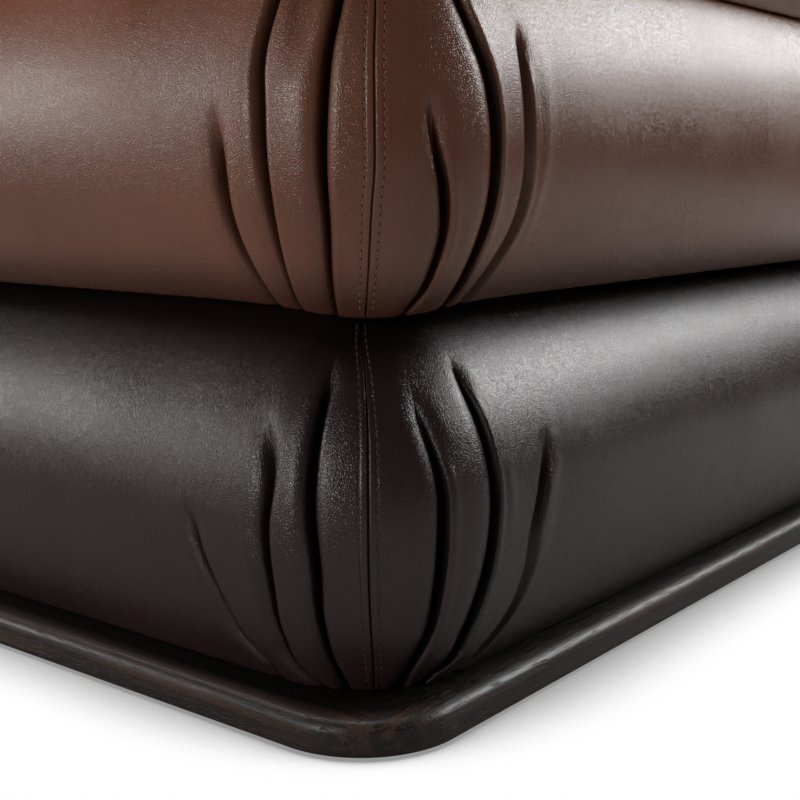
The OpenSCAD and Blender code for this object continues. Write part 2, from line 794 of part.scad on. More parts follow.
module arm_top_board_left() { arm_top_board(-1); }
module arm_top_board_right() { arm_top_board(1); }
module arm_foam_left() { arm_foam(-1); }
module arm_foam_right() { arm_foam(1); }
module arm_cover_left() { arm_cover(-1); }
module arm_cover_right() { arm_cover(1); }

// Back: an upright frame with webbing across its front
module back_bottom_rail() {
    color(beech) difference() {
        translate([0, back_middle_y, block_bottom])
            standing_block([back_frame_width, back_frame_depth, board]);
        post_cuts(0);
    }
}
module back_end_boards() {
    color(beech) for (x = [-1, 1])
        translate([x * (back_frame_width - board) / 2, back_middle_y, block_bottom + board])
            standing_block([board, back_frame_depth, back_frame_height - 2 * board]);
}
module back_top_rail() {
    color(beech) translate([0, back_middle_y, block_bottom + back_frame_height - board])
        standing_block([back_frame_width, back_frame_depth, board]);
}
module back_webbing() {
    pitch = back_frame_height / back_straps;
    color(webbing_colour) for (k = [0:back_straps - 1])
        translate([0, back_middle_y - back_frame_depth / 2 - strap_thickness / 2,
                   block_bottom + (k + 0.5) * pitch - strap_width / 2])
            standing_block([back_frame_width, strap_thickness, strap_width]);
}
module back_foam() {
    color(foam_colour) difference() {
        translate([0, back_middle_y, block_bottom])
            rounded_block([cushion_width - 2 * (cover_skin + foam_gap),
                           back_depth - 2 * (cover_skin + foam_gap),
                           back_height - cap_skin], block_cavity_corner);
        translate([0, back_middle_y - strap_thickness / 2, block_bottom - overrun])
            standing_block([back_frame_width, back_frame_depth + strap_thickness,
                            back_frame_height + overrun]);
    }
}
module back_cover() {
    color(brown_leather) difference() {
        translate([0, back_middle_y, block_bottom])
            cushion_form([cushion_width, back_depth, back_height], block_corner,
                         block_pleat_pitch, block_belly, even_skew_share, 1, upper_gather_share,
                         plain_cap_shares, seat_crown, [0, 0],
                         [cushion_width / 2, back_depth / 2], skirt = overrun);
        translate([0, 0, block_bottom]) below_cover();
        translate([0, back_middle_y, block_bottom - 2 * overrun])
            rounded_block([cushion_width - 2 * cover_skin, back_depth - 2 * cover_skin,
                           back_height - cap_skin + 2 * overrun], block_cavity_corner);
    }
}

// Loose back cushion: it stands on the seat and leans on the back
loose_rear = back_front - block_belly - soft_gap - loose_rear_crown;
loose_middle_y = loose_rear - loose_thickness / 2;
loose_rise = crown_rise([0, loose_middle_y], seat_crown, [0, seat_middle_y], seat_crown_half);
loose_bottom = seat_top + loose_rise + soft_gap;
zip_groove = 12;
zip_tape_width = 26;
zip_tape_thickness = 1.2;
zip_chain_width = 6;
zip_chain_height = 2;
slider_length = 12;
slider_width = 10;
slider_height = 3.6;
pull_length = 24;
pull_width = 6;
pull_thickness = 1;
zip_ceiling = loose_bottom + zip_groove;
module loose_place() {
    translate([0, loose_rear, loose_bottom + loose_belly + loose_height / 2])
        rotate([90, 0, 0]) children();
}
module loose_cushion_fill() {
    color(wadding_white) loose_place() translate([0, 0, cap_skin])
        rounded_block([loose_width - 2 * (cap_skin + foam_gap),
                       loose_height - 2 * (cap_skin + foam_gap),
                       loose_thickness - 2 * cap_skin], block_cavity_corner);
}
module loose_cushion_cover() {
    color(brown_leather) difference() {
        loose_place()
            cushion_form([loose_width, loose_height, loose_thickness], block_corner,
                         block_pleat_pitch, loose_belly, even_skew_share, 1, 1, plain_cap_shares,
                         loose_crown, [0, 0], [loose_width / 2, loose_height / 2],
                         loose_rear_crown);
        loose_place() translate([0, 0, cap_skin])
            rounded_block([loose_width - 2 * cap_skin, loose_height - 2 * cap_skin,
                           loose_thickness - 2 * cap_skin], block_cavity_corner);
        translate([0, loose_middle_y, loose_bottom - overrun])
            standing_block([zip_length + 2 * fit_gap, zip_tape_width + 2 * fit_gap,
                            zip_groove + overrun]);
    }
}
module zip_tape() {
    color(webbing_colour) translate([0, loose_middle_y, 0]) {
        translate([0, 0, zip_ceiling - zip_tape_thickness])
            standing_block([zip_length, zip_tape_width, zip_tape_thickness]);
        translate([0, 0, zip_ceiling - zip_tape_thickness - zip_chain_height])
            standing_block([zip_length, zip_chain_width, zip_chain_height]);
    }
}
module zip_slider() {
    start = slider_length / 2 - zip_length / 2;
    top = zip_ceiling - zip_tape_thickness - soft_gap;
    color(zinc) translate([start, loose_middle_y, 0]) {
        difference() {
            translate([0, 0, top - slider_height])
                standing_block([slider_length, slider_width, slider_height]);
            translate([0, 0, top - zip_chain_height])
                standing_block([slider_length + 2 * overrun, zip_chain_width + 2 * soft_gap,
                                zip_chain_height + overrun]);
        }
        translate([(pull_length - slider_length) / 2, 0, top - slider_height - pull_thickness])
            standing_block([pull_length, pull_width, pull_thickness]);
    }
}

plinth_rail_front();
plinth_rail_back();
plinth_rail_left();
plinth_rail_right();
plinth_tongues();
plinth_deck();
deck_screws();
glides();
glide_screws();
base_rail_front();
base_rail_back();
base_rail_left();
base_rail_right();
base_stretcher();
corner_blocks();
carcass_dowels();
lag_bolts();
lag_washers();
base_webbing();
base_foam_slab();
base_foam_wall();
base_cover();
seat_core_foam();
seat_topper();
seat_cover();
arm_posts();
back_posts();
post_bolts();
post_nuts();
arm_base_board_left();
arm_end_boards_left();
arm_top_board_left();
arm_foam_left();
arm_cover_left();
arm_base_board_right();
arm_end_boards_right();
arm_top_board_right();
arm_foam_right();
arm_cover_right();
back_bottom_rail();
back_end_boards();
back_top_rail();
back_webbing();
back_foam();
back_cover();
loose_cushion_fill();
loose_cushion_cover();
zip_tape();
zip_slider();
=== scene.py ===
import math

import bmesh
import bpy
import numpy as np
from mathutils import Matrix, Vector
from mathutils.kdtree import KDTree


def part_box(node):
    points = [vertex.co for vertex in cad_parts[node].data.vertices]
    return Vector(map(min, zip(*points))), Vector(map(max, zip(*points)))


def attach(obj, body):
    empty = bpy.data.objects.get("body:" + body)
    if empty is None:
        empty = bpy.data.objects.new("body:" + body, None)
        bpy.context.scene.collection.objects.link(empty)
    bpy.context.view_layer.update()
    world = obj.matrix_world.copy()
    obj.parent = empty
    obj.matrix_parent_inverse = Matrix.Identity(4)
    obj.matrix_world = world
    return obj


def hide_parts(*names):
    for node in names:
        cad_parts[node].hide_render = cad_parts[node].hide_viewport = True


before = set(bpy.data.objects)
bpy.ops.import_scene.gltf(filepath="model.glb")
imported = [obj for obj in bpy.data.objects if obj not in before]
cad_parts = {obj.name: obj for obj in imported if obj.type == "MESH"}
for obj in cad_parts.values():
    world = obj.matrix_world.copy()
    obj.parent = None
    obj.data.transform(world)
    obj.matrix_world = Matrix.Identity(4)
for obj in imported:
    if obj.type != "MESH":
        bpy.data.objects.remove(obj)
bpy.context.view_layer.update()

mm = 0.001
print("frame loaded:", len(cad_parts), "CAD nodes")

# the camera that took the photo: place in metres, tilt and heading in degrees
view = dict(lens=59.04, place=(0.8851, -0.9557, 0.303), down=9.5, heading=38.2)
cameraData = bpy.data.cameras.new("camera")
cameraData.lens = view["lens"]
cameraData.sensor_width = 36
cameraData.clip_start = 0.05
camera = bpy.data.objects.new("camera", cameraData)
camera.location = view["place"]
camera.rotation_euler = (math.radians(90 - view["down"]), 0, math.radians(view["heading"]))
bpy.context.scene.collection.objects.link(camera)
bpy.context.scene.camera = camera


def addObject(name, points, faces, materials=(), attributes=None, smooth=True):
    mesh = bpy.data.meshes.new(name)
    mesh.from_pydata(np.asarray(points, float).tolist(), [], [list(map(int, f)) for f in faces])
    mesh.polygons.foreach_set("use_smooth", [smooth] * len(mesh.polygons))
    for key, values in (attributes or {}).items():
        layer = mesh.attributes.new(key, "FLOAT", "POINT")
        layer.data.foreach_set("value", np.asarray(values, np.float32))
    for material in materials:
        mesh.materials.append(material)
    mesh.update()
    piece = bpy.data.objects.new(name, mesh)
    bpy.context.scene.collection.objects.link(piece)
    return piece


def getPoints(mesh):
    co = np.zeros(len(mesh.vertices) * 3)
    mesh.vertices.foreach_get("co", co)
    return co.reshape(-1, 3)


def setPoints(mesh, co):
    mesh.vertices.foreach_set("co", co.ravel())
    mesh.update()


def ramp(x, low, high):  # smooth step from 0 at low to 1 at high
    t = np.clip((x - low) / (high - low), 0, 1)
    return t * t * (3 - 2 * t)


def bell(x, width):
    return np.exp(-(x / width) ** 2)


def plug(tree, node, inputs):  # each input gets a value or another node's output
    for key, value in inputs.items():
        socket = node.inputs[key]
        if isinstance(value, bpy.types.NodeSocket):
            tree.links.new(value, socket)
        else:
            socket.default_value = value


def addNode(tree, kind, inputs=None, **settings):
    made = tree.nodes.new(kind)
    for key, value in settings.items():
        setattr(made, key, value)
    plug(tree, made, inputs or {})
    return made


def maths(tree, operation, a, b=0.0):
    return addNode(tree, "ShaderNodeMath", {0: a, 1: b}, operation=operation).outputs[0]


def times(tree, a, b):
    return maths(tree, "MULTIPLY", a, b)


def blendColours(tree, factor, a, b):
    return addNode(tree, "ShaderNodeMix", {0: factor, 6: a, 7: b}, data_type="RGBA").outputs[2]


def rescale(tree, value, low, high, newLow=0.0, newHigh=1.0):
    made = addNode(tree, "ShaderNodeMapRange", {0: value, 1: low, 2: high, 3: newLow, 4: newHigh},
                   interpolation_type="SMOOTHSTEP")
    return made.outputs[0]


def newGroup(name, inputs, outputs):
    tree = bpy.data.node_groups.new(name, "ShaderNodeTree")
    for key, kind, value in inputs:
        socket = tree.interface.new_socket(key, in_out="INPUT", socket_type=kind)
        if value is not None:
            socket.default_value = value
    for key, kind in outputs:
        tree.interface.new_socket(key, in_out="OUTPUT", socket_type=kind)
    return tree, tree.nodes.new("NodeGroupInput"), tree.nodes.new("NodeGroupOutput")


def useGroup(tree, group, **inputs):
    made = tree.nodes.new("ShaderNodeGroup")
    made.node_tree = group
    plug(tree, made, inputs)
    return made.outputs


def newMaterial(name, **sockets):
    material = bpy.data.materials.new(name)
    material.use_nodes = True
    tree = material.node_tree
    shader = tree.nodes["Principled BSDF"]
    for key, value in sockets.items():
        shader.inputs[key.replace("_", " ")].default_value = value
    place = tree.nodes.new("ShaderNodeTexCoord").outputs["Object"]
    return material, tree, shader, place


def stretched(tree, vector, scale):
    return addNode(tree, "ShaderNodeMapping", {"Vector": vector, "Scale": scale}).outputs[0]


def noise(tree, vector, scale, detail=2.0, roughness=0.5, distortion=0.0):
    made = addNode(tree, "ShaderNodeTexNoise", {"Vector": vector, "Scale": scale, "Detail": detail,
                                                "Roughness": roughness, "Distortion": distortion})
    return made.outputs["Fac"]


def wave(tree, vector, scale, direction, distortion=0.0):
    made = addNode(tree, "ShaderNodeTexWave", {"Vector": vector, "Scale": scale, "Distortion": distortion},
                   bands_direction=direction)
    return made.outputs["Fac"]


def attribute(tree, name):
    return addNode(tree, "ShaderNodeAttribute", attribute_name=name).outputs["Fac"]


def addBump(tree, shader, height, distance):
    bump = addNode(tree, "ShaderNodeBump", {"Distance": distance, "Height": height})
    tree.links.new(bump.outputs[0], shader.inputs["Normal"])


def srgb(r, g, b):
    def line(c):
        c = c / 255
        return c / 12.92 if c <= 0.04045 else ((c + 0.055) / 1.055) ** 2.4
    return (line(r), line(g), line(b), 1)


# full-grain leather: a pebble of about a millimetre, a finer one in it, and fine
# lengthwise crinkles where the mesh says that the leather is pulled together
leatherGrain, groupIn, groupOut = newGroup(
    "leather grain",
    [("Vector", "NodeSocketVector", None), ("Pebble", "NodeSocketFloat", 0.9),
     ("Crinkle", "NodeSocketFloat", 0.0)],
    [("Height", "NodeSocketFloat"), ("Tone", "NodeSocketFloat"), ("Pore", "NodeSocketFloat")])
t = leatherGrain
# paintedCreaseShade: how far the painted shade in creases darkens the leather's colour
leatherLook = dict(pebble=1.25, cells=0.072, fine=0.024, drawn=0.5, broad=0.12,  # mm
                   paintedCreaseShade=0.92, poreDark=0.2, poreDull=0.08, glossVaries=0.03)
vector = groupIn.outputs["Vector"]
perMetre = maths(t, "DIVIDE", 1000.0, groupIn.outputs["Pebble"])
pebble = addNode(t, "ShaderNodeTexVoronoi", {"Vector": vector, "Scale": perMetre}, feature="DISTANCE_TO_EDGE")
cells = rescale(t, pebble.outputs["Distance"], 0.0, 0.28)
fine = noise(t, vector, times(t, perMetre, 2.3), 2.0)
drawn = noise(t, stretched(t, vector, (1.0, 1.0, 0.16)), times(t, perMetre, 0.85), 3.0, 0.55, 0.3)
pulled = times(t, drawn, groupIn.outputs["Crinkle"])
broad = noise(t, vector, 60.0, 3.0)
height = times(t, cells, leatherLook["cells"])
for layer, size in ((fine, "fine"), (pulled, "drawn"), (broad, "broad")):
    height = maths(t, "ADD", height, times(t, layer, leatherLook[size]))
plug(t, groupOut, {"Height": height, "Tone": noise(t, vector, 9.0, 5.0, 0.6), "Pore": cells})


def leatherMaterial(name, dark, light, low, roughness):
    material, tree, shader, place = newMaterial(name)
    creaseShade = attribute(tree, "creaseShade")
    grain = useGroup(tree, leatherGrain, Vector=place, Pebble=leatherLook["pebble"],
                     Crinkle=attribute(tree, "crinkle"))
    pore = maths(tree, "SUBTRACT", 1.0, grain["Pore"])
    colour = blendColours(tree, rescale(tree, grain["Tone"], 0.3, 0.7), dark, light)
    # painted shade: the creaseShade mask darkens the colour towards the low colour in pleat gaps, the seam's
    # groove, the dark tier's top and the seat's bottom
    colour = blendColours(tree, times(tree, creaseShade, leatherLook["paintedCreaseShade"]), colour, low)
    colour = blendColours(tree, times(tree, pore, leatherLook["poreDark"]), colour, low)
    varies = leatherLook["glossVaries"]
    gloss = rescale(tree, grain["Tone"], 0.3, 0.7, roughness - varies, roughness + varies)
    gloss = maths(tree, "ADD", gloss, times(tree, pore, leatherLook["poreDull"]))
    # and dulls the specular there, a painted shade too
    shine = rescale(tree, creaseShade, 0.0, 1.0, 0.5, 0.08)
    plug(tree, shader, {"Base Color": colour, "Roughness": gloss, "Specular IOR Level": shine})
    addBump(tree, shader, grain["Height"], mm)
    return material


leatherGloss = 0.215
# the last colour is both the pores' dark and the colour of the painted shade
brownLeather = leatherMaterial("brown leather", srgb(112, 68, 49), srgb(122, 77, 57), srgb(26, 12, 8),
                               leatherGloss)
darkLeather = leatherMaterial("dark leather", srgb(48, 32, 32), srgb(55, 38, 38), srgb(9, 6, 6), leatherGloss)


def twoTone(name, roughness, pattern, dark, light, relief):
    # two colours mixed by a pattern, which is the material's relief too
    material, tree, shader, place = newMaterial(name, Roughness=roughness)
    share = pattern(tree, place)
    tree.links.new(blendColours(tree, share, dark, light), shader.inputs["Base Color"])
    addBump(tree, shader, share, relief)
    return material


def twist(tree, place):
    return wave(tree, place, 900.0, "DIAGONAL", 1.5)


brownThread = twoTone("brown thread", 0.65, twist, srgb(104, 68, 52), srgb(156, 116, 96), 0.1 * mm)
darkThread = twoTone("dark thread", 0.65, twist, srgb(56, 36, 32), srgb(92, 64, 56), 0.1 * mm)

# open-pored oak with a near-black stain: streaks along the grain, a plain-sawn figure
# and short dark pores; the vector's X runs along the grain
woodGrain, groupIn, groupOut = newGroup(
    "wood grain",
    [("Vector", "NodeSocketVector", None), ("Figure", "NodeSocketFloat", 1.0)],
    [("Height", "NodeSocketFloat"), ("Streak", "NodeSocketFloat"), ("Figure", "NodeSocketFloat"),
     ("Pore", "NodeSocketFloat")])
t = woodGrain
along = groupIn.outputs["Vector"]
streak = noise(t, stretched(t, along, (4.0, 190.0, 190.0)), 1.0, 6.0, 0.62, 0.4)
wander = noise(t, stretched(t, along, (5.0, 9.0, 9.0)), 1.0, 2.0, 0.5)
rings = addNode(t, "ShaderNodeTexWave",
                {"Vector": stretched(t, along, (0.9, 14.0, 14.0)), "Scale": 5.0,
                 "Distortion": times(t, groupIn.outputs["Figure"], 9.0), "Detail": 3.0,
                 "Detail Scale": 1.6, "Detail Roughness": 0.55},
                wave_type="BANDS", bands_direction="Y", wave_profile="SAW").outputs["Fac"]
pores = noise(t, stretched(t, along, (70.0, 1500.0, 1500.0)), 1.0, 2.0, 0.6)
pores = rescale(t, pores, 0.56, 0.66)
height = maths(t, "SUBTRACT", times(t, streak, 0.10), times(t, pores, 0.12))
figure = times(t, rings, rescale(t, wander, 0.35, 0.6, 0.3, 1.0))
plug(t, groupOut, {"Height": height, "Streak": streak, "Figure": figure, "Pore": pores})
# near-black of the pores, also used as painted shade on the plinth's top
woodPoresAndShade = srgb(10, 7, 6)


def woodMaterial(name, turn, dark, mid, light, roughness, figure=1.0):
    material, tree, shader, place = newMaterial(name, Roughness=roughness)
    turned = addNode(tree, "ShaderNodeMapping", {"Vector": place, "Rotation": (0, 0, math.radians(turn))})
    grain = useGroup(tree, woodGrain, Vector=turned.outputs[0], Figure=figure)
    shaded = attribute(tree, "shaded")
    worn = rescale(tree, grain["Streak"], 0.46, 0.62, 0, 0.8)
    worn = times(tree, attribute(tree, "wear"), worn)
    colour = blendColours(tree, rescale(tree, grain["Streak"], 0.35, 0.68), dark, mid)
    colour = blendColours(tree, rescale(tree, grain["Figure"], 0.6, 0.98, 0.0, 0.45), colour, light)
    colour = blendColours(tree, worn, colour, light)
    # painted shade: the top inward of the bullnose, under the cushion, darkened towards near-black and its
    # specular dulled
    colour = blendColours(tree, times(tree, shaded, 0.75), colour, woodPoresAndShade)
    colour = blendColours(tree, times(tree, grain["Pore"], 0.7), colour, woodPoresAndShade)
    gloss = maths(tree, "ADD", roughness, times(tree, grain["Pore"], 0.2))
    shine = rescale(tree, shaded, 0.0, 1.0, 0.5, 0.12)
    plug(tree, shader, {"Base Color": colour, "Roughness": gloss, "Specular IOR Level": shine})
    addBump(tree, shader, grain["Height"], mm)
    return material


oakTones = (srgb(24, 15, 13), srgb(42, 29, 25), srgb(80, 54, 40))
oakAcross = woodMaterial("stained oak front rails", 0, *oakTones, 0.4)
oakAlong = woodMaterial("stained oak side rails", 90, *oakTones, 0.4)
beechTones = (srgb(168, 122, 84), srgb(196, 150, 108), srgb(214, 172, 130))
beechAcross = woodMaterial("beech along the width", 0, *beechTones, 0.55, 0.3)
beechAlong = woodMaterial("beech along the depth", 90, *beechTones, 0.55, 0.3)
birchTones = (srgb(178, 140, 98), srgb(204, 168, 124), srgb(222, 190, 150))
plyFace = woodMaterial("birch plywood", 0, *birchTones, 0.6, 0.6)
print("leather and wood ready")

# A cover is a grid: columns run round the plan, rows up its side. At each corner s is the
# way along the plan from the corner's tip, and u the share of the height. A line is a
# list of (s in mm, u) that a fold or the seam follows.

# the corner seam in mm: the rows of stitches lie off it, at the outer edges of its flanges
seamForm = dict(stitchesOff=4.9, flangeTop=3.8, trough=1.2, groove=0.5, deep=1.1, rise=0.28, dent=0.4)
seamShare = 0.77  # of a distance on the bulged cover, on the plan
foamRoom = 13.5  # mm; the foam begins 14 mm in
# of every pleat that doesn't say otherwise
foldDefaults = dict(fade=0.16, soft=0.12, gap=2.6, lip=1.0, wall=0.25)


def followLine(line, u):
    s0 = np.array([p[0] for p in line], float) * mm
    u0 = np.array([p[1] for p in line], float)
    order = np.argsort(u0)
    s0, u0 = s0[order], u0[order]
    slope = np.gradient(s0, u0)
    inside = np.clip(u, u0[0], u0[-1])
    k = np.clip(np.searchsorted(u0, inside, side="right") - 1, 0, len(u0) - 2)
    step = u0[k + 1] - u0[k]
    t = (inside - u0[k]) / step
    value = ((2 * t ** 3 - 3 * t ** 2 + 1) * s0[k] + (t ** 3 - 2 * t ** 2 + t) * step * slope[k]
             + (3 * t ** 2 - 2 * t ** 3) * s0[k + 1] + (t ** 3 - t ** 2) * step * slope[k + 1])
    ends = np.where(u < u0[0], slope[0], slope[-1])
    return value + 0.5 * ends * (u - inside)


def planPoint(shape, quarter, s):  # place and outward direction on the plan
    radius, size = shape["radius"], shape["size"]
    arc = radius * math.pi / 4
    turn = math.pi / 4 + np.clip(s / radius, -math.pi / 4, math.pi / 4)
    run = np.maximum(0, np.abs(s) - arc)
    x = radius * (np.cos(turn) - 1) - np.where(s > 0, run, 0)
    y = radius * (np.sin(turn) - 1) - np.where(s > 0, 0, run)
    c, d = round(math.cos(quarter * math.pi / 2)), round(math.sin(quarter * math.pi / 2))
    cornerX = size[0] / 2 * (1 if quarter in (0, 3) else -1) + shape["middle"][0]
    cornerY = size[1] / 2 * (1 if quarter < 2 else -1) + shape["middle"][1]
    nx, ny = np.cos(turn), np.sin(turn)
    return (cornerX + c * x - d * y, cornerY + d * x + c * y, c * nx - d * ny, d * nx + c * ny)


def rollOff(x, left, right, tight, wall):  # 1 in a crease: a wide roll before it, a tight one behind
    before = np.clip(1 + x / left, 0, 1) ** 2.6
    loose = np.clip(1 - x / right, 0, 1) ** 1.7
    sharp = wall * ramp(-x, -1.1 * mm, 0) + (1 - wall) * np.clip(1 - x / right, 0, 1) ** 4
    return np.where(x < 0, before, loose + (sharp - loose) * tight)


def tuckGap(x, width):  # the gap that the tucked leather leaves, where the cover sinks in and painted shade goes
    return np.where(x < 0, ramp(x, -width, -0.3 * width), ramp(-x, -0.0009, 0))


def foldStrength(pleat, u):
    head, foot = pleat.get("head", 9), pleat.get("foot", -9)
    fade = pleat["fade"]
    return (1 - ramp(u, head - fade, head)) * ramp(u, foot, foot + fade)


def pleatForm(pleat, line, before, after, seam, off, u):
    # how far a pleat draws the leather in, how much painted shade its gap gets and how crinkled the leather
    # is there
    strength = foldStrength(pleat, u)
    left = np.minimum(pleat["left"] * mm, 0.55 * (line - before))
    right = np.minimum(pleat["right"] * mm, 0.55 * (after - line))
    left = np.where(line > seam, np.minimum(left, 0.8 * (line - seam)), left)
    right = np.where(line < seam, np.minimum(right, 0.8 * (seam - line)), right)
    gap = np.minimum(pleat["gap"] * mm * (0.5 + 0.5 * ramp(u, 0.05, 0.5)), 0.45 * left)
    tight = ramp(pleat.get("head", 9) - u, 0.04, pleat["soft"] + 0.05)
    fall = rollOff(off, left, right, tight, pleat["wall"]) * strength
    fall = fall + 1.5 * tuckGap(off, gap) * strength * tight
    lip = strength * tight * bell(off - 3.2 * mm, 2.4 * mm) * (off > 0)
    behind = (pleat["wall"] > 0.5) * ramp(-off, -1.5 * mm, -1.0 * mm) * (off >= 0)
    slot = np.maximum(tuckGap(off, 1.3 * gap), behind)
    crinkle = 0.9 * bell(off, 0.009) * bell(u - pleat.get("head", 1.1) + 0.06, 0.15)
    crinkle = crinkle + 0.25 * bell(off, 0.010) * strength
    return (pleat["depth"] * fall - pleat["lip"] * lip) * mm, slot * strength * (0.35 + 0.65 * tight), crinkle


def coverPoint(shape, quarter, s, u):
    # place of a point of the cover's side, with how drawn the leather is there and how much painted shade it
    # gets
    corner = shape["corners"][quarter]
    hand = corner["hand"]
    x, y, nx, ny = planPoint(shape, quarter, s)
    way = s * hand
    v = u ** shape["skew"]
    ease = np.where(v < 0.5, *shape.get("ease", (0.85, 0.85)))
    full = np.clip(1 - np.abs(2 * v - 1) ** 2, 0, 1) ** ease
    tuck = np.where(v < 0.5, *shape["tuck"])
    belly = shape["belly"]
    for ox, oy, more in shape.get("outer", ()):
        belly = belly + more * np.clip(nx * ox + ny * oy, 0, 1)
    out = -tuck + (belly + tuck) * full
    middle = np.sin(math.pi * np.clip(u, 0, 1))
    lines = [followLine(p["line"], u) for p in corner["pleats"]]
    seam = followLine(corner["seam"], u)
    crinkle = 0.14 * bell(way, 0.09)
    creaseShade = np.zeros_like(out)
    for k, (pleat, line) in enumerate(zip(corner["pleats"], lines)):
        before = lines[k - 1] if k else line - 1
        after = lines[k + 1] if k + 1 < len(lines) else line + 1
        inward, creased, drawn = pleatForm(pleat, line, before, after, seam, way - line, u)
        out = out - inward
        creaseShade = np.maximum(creaseShade, creased)
        crinkle = crinkle + drawn
    for ridge in corner["ridges"]:
        off = way - followLine(ridge["line"], u)
        strength = foldStrength(ridge, u)
        out = out + ridge["height"] * mm * bell(off, ridge["width"] * mm) * strength
        crinkle = crinkle + 0.3 * bell(off, 0.02) * strength
    off = (way - seam) / seamShare  # the corner seam: a groove between two turned flanges
    groove = bell(off, seamForm["groove"] * mm)
    stitchLine = seamForm["stitchesOff"] * mm
    flange = ramp(-np.abs(off), -stitchLine, -seamForm["flangeTop"] * mm)
    flange = flange - ramp(-np.abs(off), -seamForm["trough"] * mm, 0)
    out = out - seamForm["deep"] * mm * groove + seamForm["rise"] * mm * flange
    out = out - seamForm["dent"] * mm * bell(np.abs(off) - stitchLine, seamForm["groove"] * mm)
    # painted shade in the seam's groove
    creaseShade = np.maximum(creaseShade, 0.9 * groove)
    # painted shade on the dark tier's top, under the seat's overhang
    creaseShade = np.maximum(creaseShade, shape.get("valleyShade", 0) * ramp(u, 0.78, 0.95))
    room = foamRoom  # more of it at a trimmed edge
    for end, (start, more) in zip((1 - u, u), shape.get("slack", ((0.95, 0), (0.95, 16)))):
        room = room + more * ramp(end, start, 0.2 * start + 0.8)
    out = np.maximum(out, -room * mm)
    px, py = x * 23.0, y * 21.0
    swell = np.sin(px + 1.7 * u + quarter) * np.cos(py - 2.3 * u) + 0.5 * np.sin(2.3 * (px + py) + 4 * u)
    out = out + shape.get("wave", 0.6) * mm * middle * swell
    dip = shape["dip"] * mm * bell(s, 0.06) * np.where(u < 0.5, shape["dips"][0], shape["dips"][1])
    edge = bell(np.minimum(u, 1 - u), 0.25)
    z = shape["foot"] + shape["height"] * u - dip * edge
    z = z + shape["lobe"] * mm * creaseShade * bell(u, 0.05) * shape["dips"][0]
    # painted shade on the seat's bottom edge, above the dark tier
    creaseShade = np.maximum(creaseShade, shape.get("bottomShade", 0) * ramp(-u, -0.17, -0.02))
    return np.stack([x + nx * out, y + ny * out, z], -1), np.clip(crinkle, 0, 1), creaseShade


def spread(a, b, step, cluster=0.0):  # from a to b without b, closer together at both ends
    n = max(1, int(math.ceil((b - a) / step)))
    t = np.arange(n) / n
    return a + (b - a) * (t - cluster * np.sin(2 * math.pi * t) / (2 * math.pi))


# metres: steps between columns far out and on the seam's flanges, the flanges' width, the
# least distance between two lines, and how far from the corner the close columns reach
columnForm = dict(wide=0.018, fine=0.00038, flange=0.0055, narrow=0.0056, apart=0.0015, reach=0.15)


def cornerColumns(shape, quarter, u):
    # s of every column of a corner at every row: columns stay on the folds and the seam
    corner = shape["corners"][quarter]
    hand, step = corner["hand"], corner["step"] * mm
    across = shape["size"][0] if quarter in (0, 2) else shape["size"][1]  # the side at s > 0
    before = shape["size"][1] if quarter in (0, 2) else shape["size"][0]
    bend = shape["radius"] * (math.pi / 4 - 1)
    ends = (-(before / 2 + bend), across / 2 + bend)
    if hand < 0:
        ends = (-ends[1], -ends[0])
    rows = [followLine(p["line"], u) for p in corner["pleats"]]
    seam = followLine(corner["seam"], u)
    rows += [seam - columnForm["flange"], seam, seam + columnForm["flange"]]
    rows.sort(key=lambda r: float(np.interp(0.4, u, r)))
    for k in range(1, len(rows)):
        rows[k] = np.maximum(rows[k], rows[k - 1] + columnForm["apart"])
    reach = [min(columnForm["reach"], -0.9 * ends[0]), min(columnForm["reach"], 0.9 * ends[1])]
    wide = columnForm["wide"]
    base = [float(np.interp(0.4, u, r)) for r in rows]
    knots = [ends[0], -reach[0]] + base + [reach[1], ends[1]]
    rows = [0 * u + ends[0], 0 * u - reach[0]] + rows + [0 * u + reach[1], 0 * u + ends[1]]
    columns = [spread(ends[0], -reach[0], wide), spread(-reach[0], base[0], 2.0 * step, 0.4)]
    for a, b in zip(base[:-1], base[1:]):
        onFlange = b - a < columnForm["narrow"] and step < 2 * mm
        columns.append(spread(a, b, columnForm["fine"] if onFlange else step, 0.62))
    columns += [spread(base[-1], reach[1], 2.0 * step, 0.4), spread(reach[1], ends[1], wide), [ends[1]]]
    c = np.concatenate(columns)
    s = np.stack([np.interp(c, knots, [r[k] for r in rows]) for k in range(len(u))])
    s = hand * s
    if hand < 0:
        s = s[:, ::-1]
    return s[:, :-1]  # the last one is the next corner's first


def coverGrid(shape):
    n = shape["rows"]
    t = np.arange(n + 1) / n
    u = t - 0.78 * np.sin(2 * math.pi * t) / (2 * math.pi)
    parts, plain = [], [[], []]
    for quarter in range(4):
        s = cornerColumns(shape, quarter, u)
        parts.append(coverPoint(shape, quarter, s, np.repeat(u[:, None], s.shape[1], 1)))
        for end in (0, 1):  # the rims without their folds
            x, y, nx, ny = planPoint(shape, quarter, s[-end])
            plain[end].append(np.stack([x - nx * shape["tuck"][end], y - ny * shape["tuck"][end]], -1))
    side, crinkle, creaseShade = [np.concatenate([p[k] for p in parts], 1) for k in range(3)]
    return side, crinkle, creaseShade, [np.concatenate(p) for p in plain]


def crownRise(crown, x, y):
    dx = np.clip(np.abs((x - crown["middle"][0]) / crown["half"][0]), 0, 1)
    dy = np.clip(np.abs((y - crown["middle"][1]) / crown["half"][1]), 0, 1)
    px, py = crown.get("power", (2.6, 2.6))
    return crown["rise"] * mm * ((1 - dx ** px) * (1 - dy ** py)) ** crown.get("ease", 0.7)


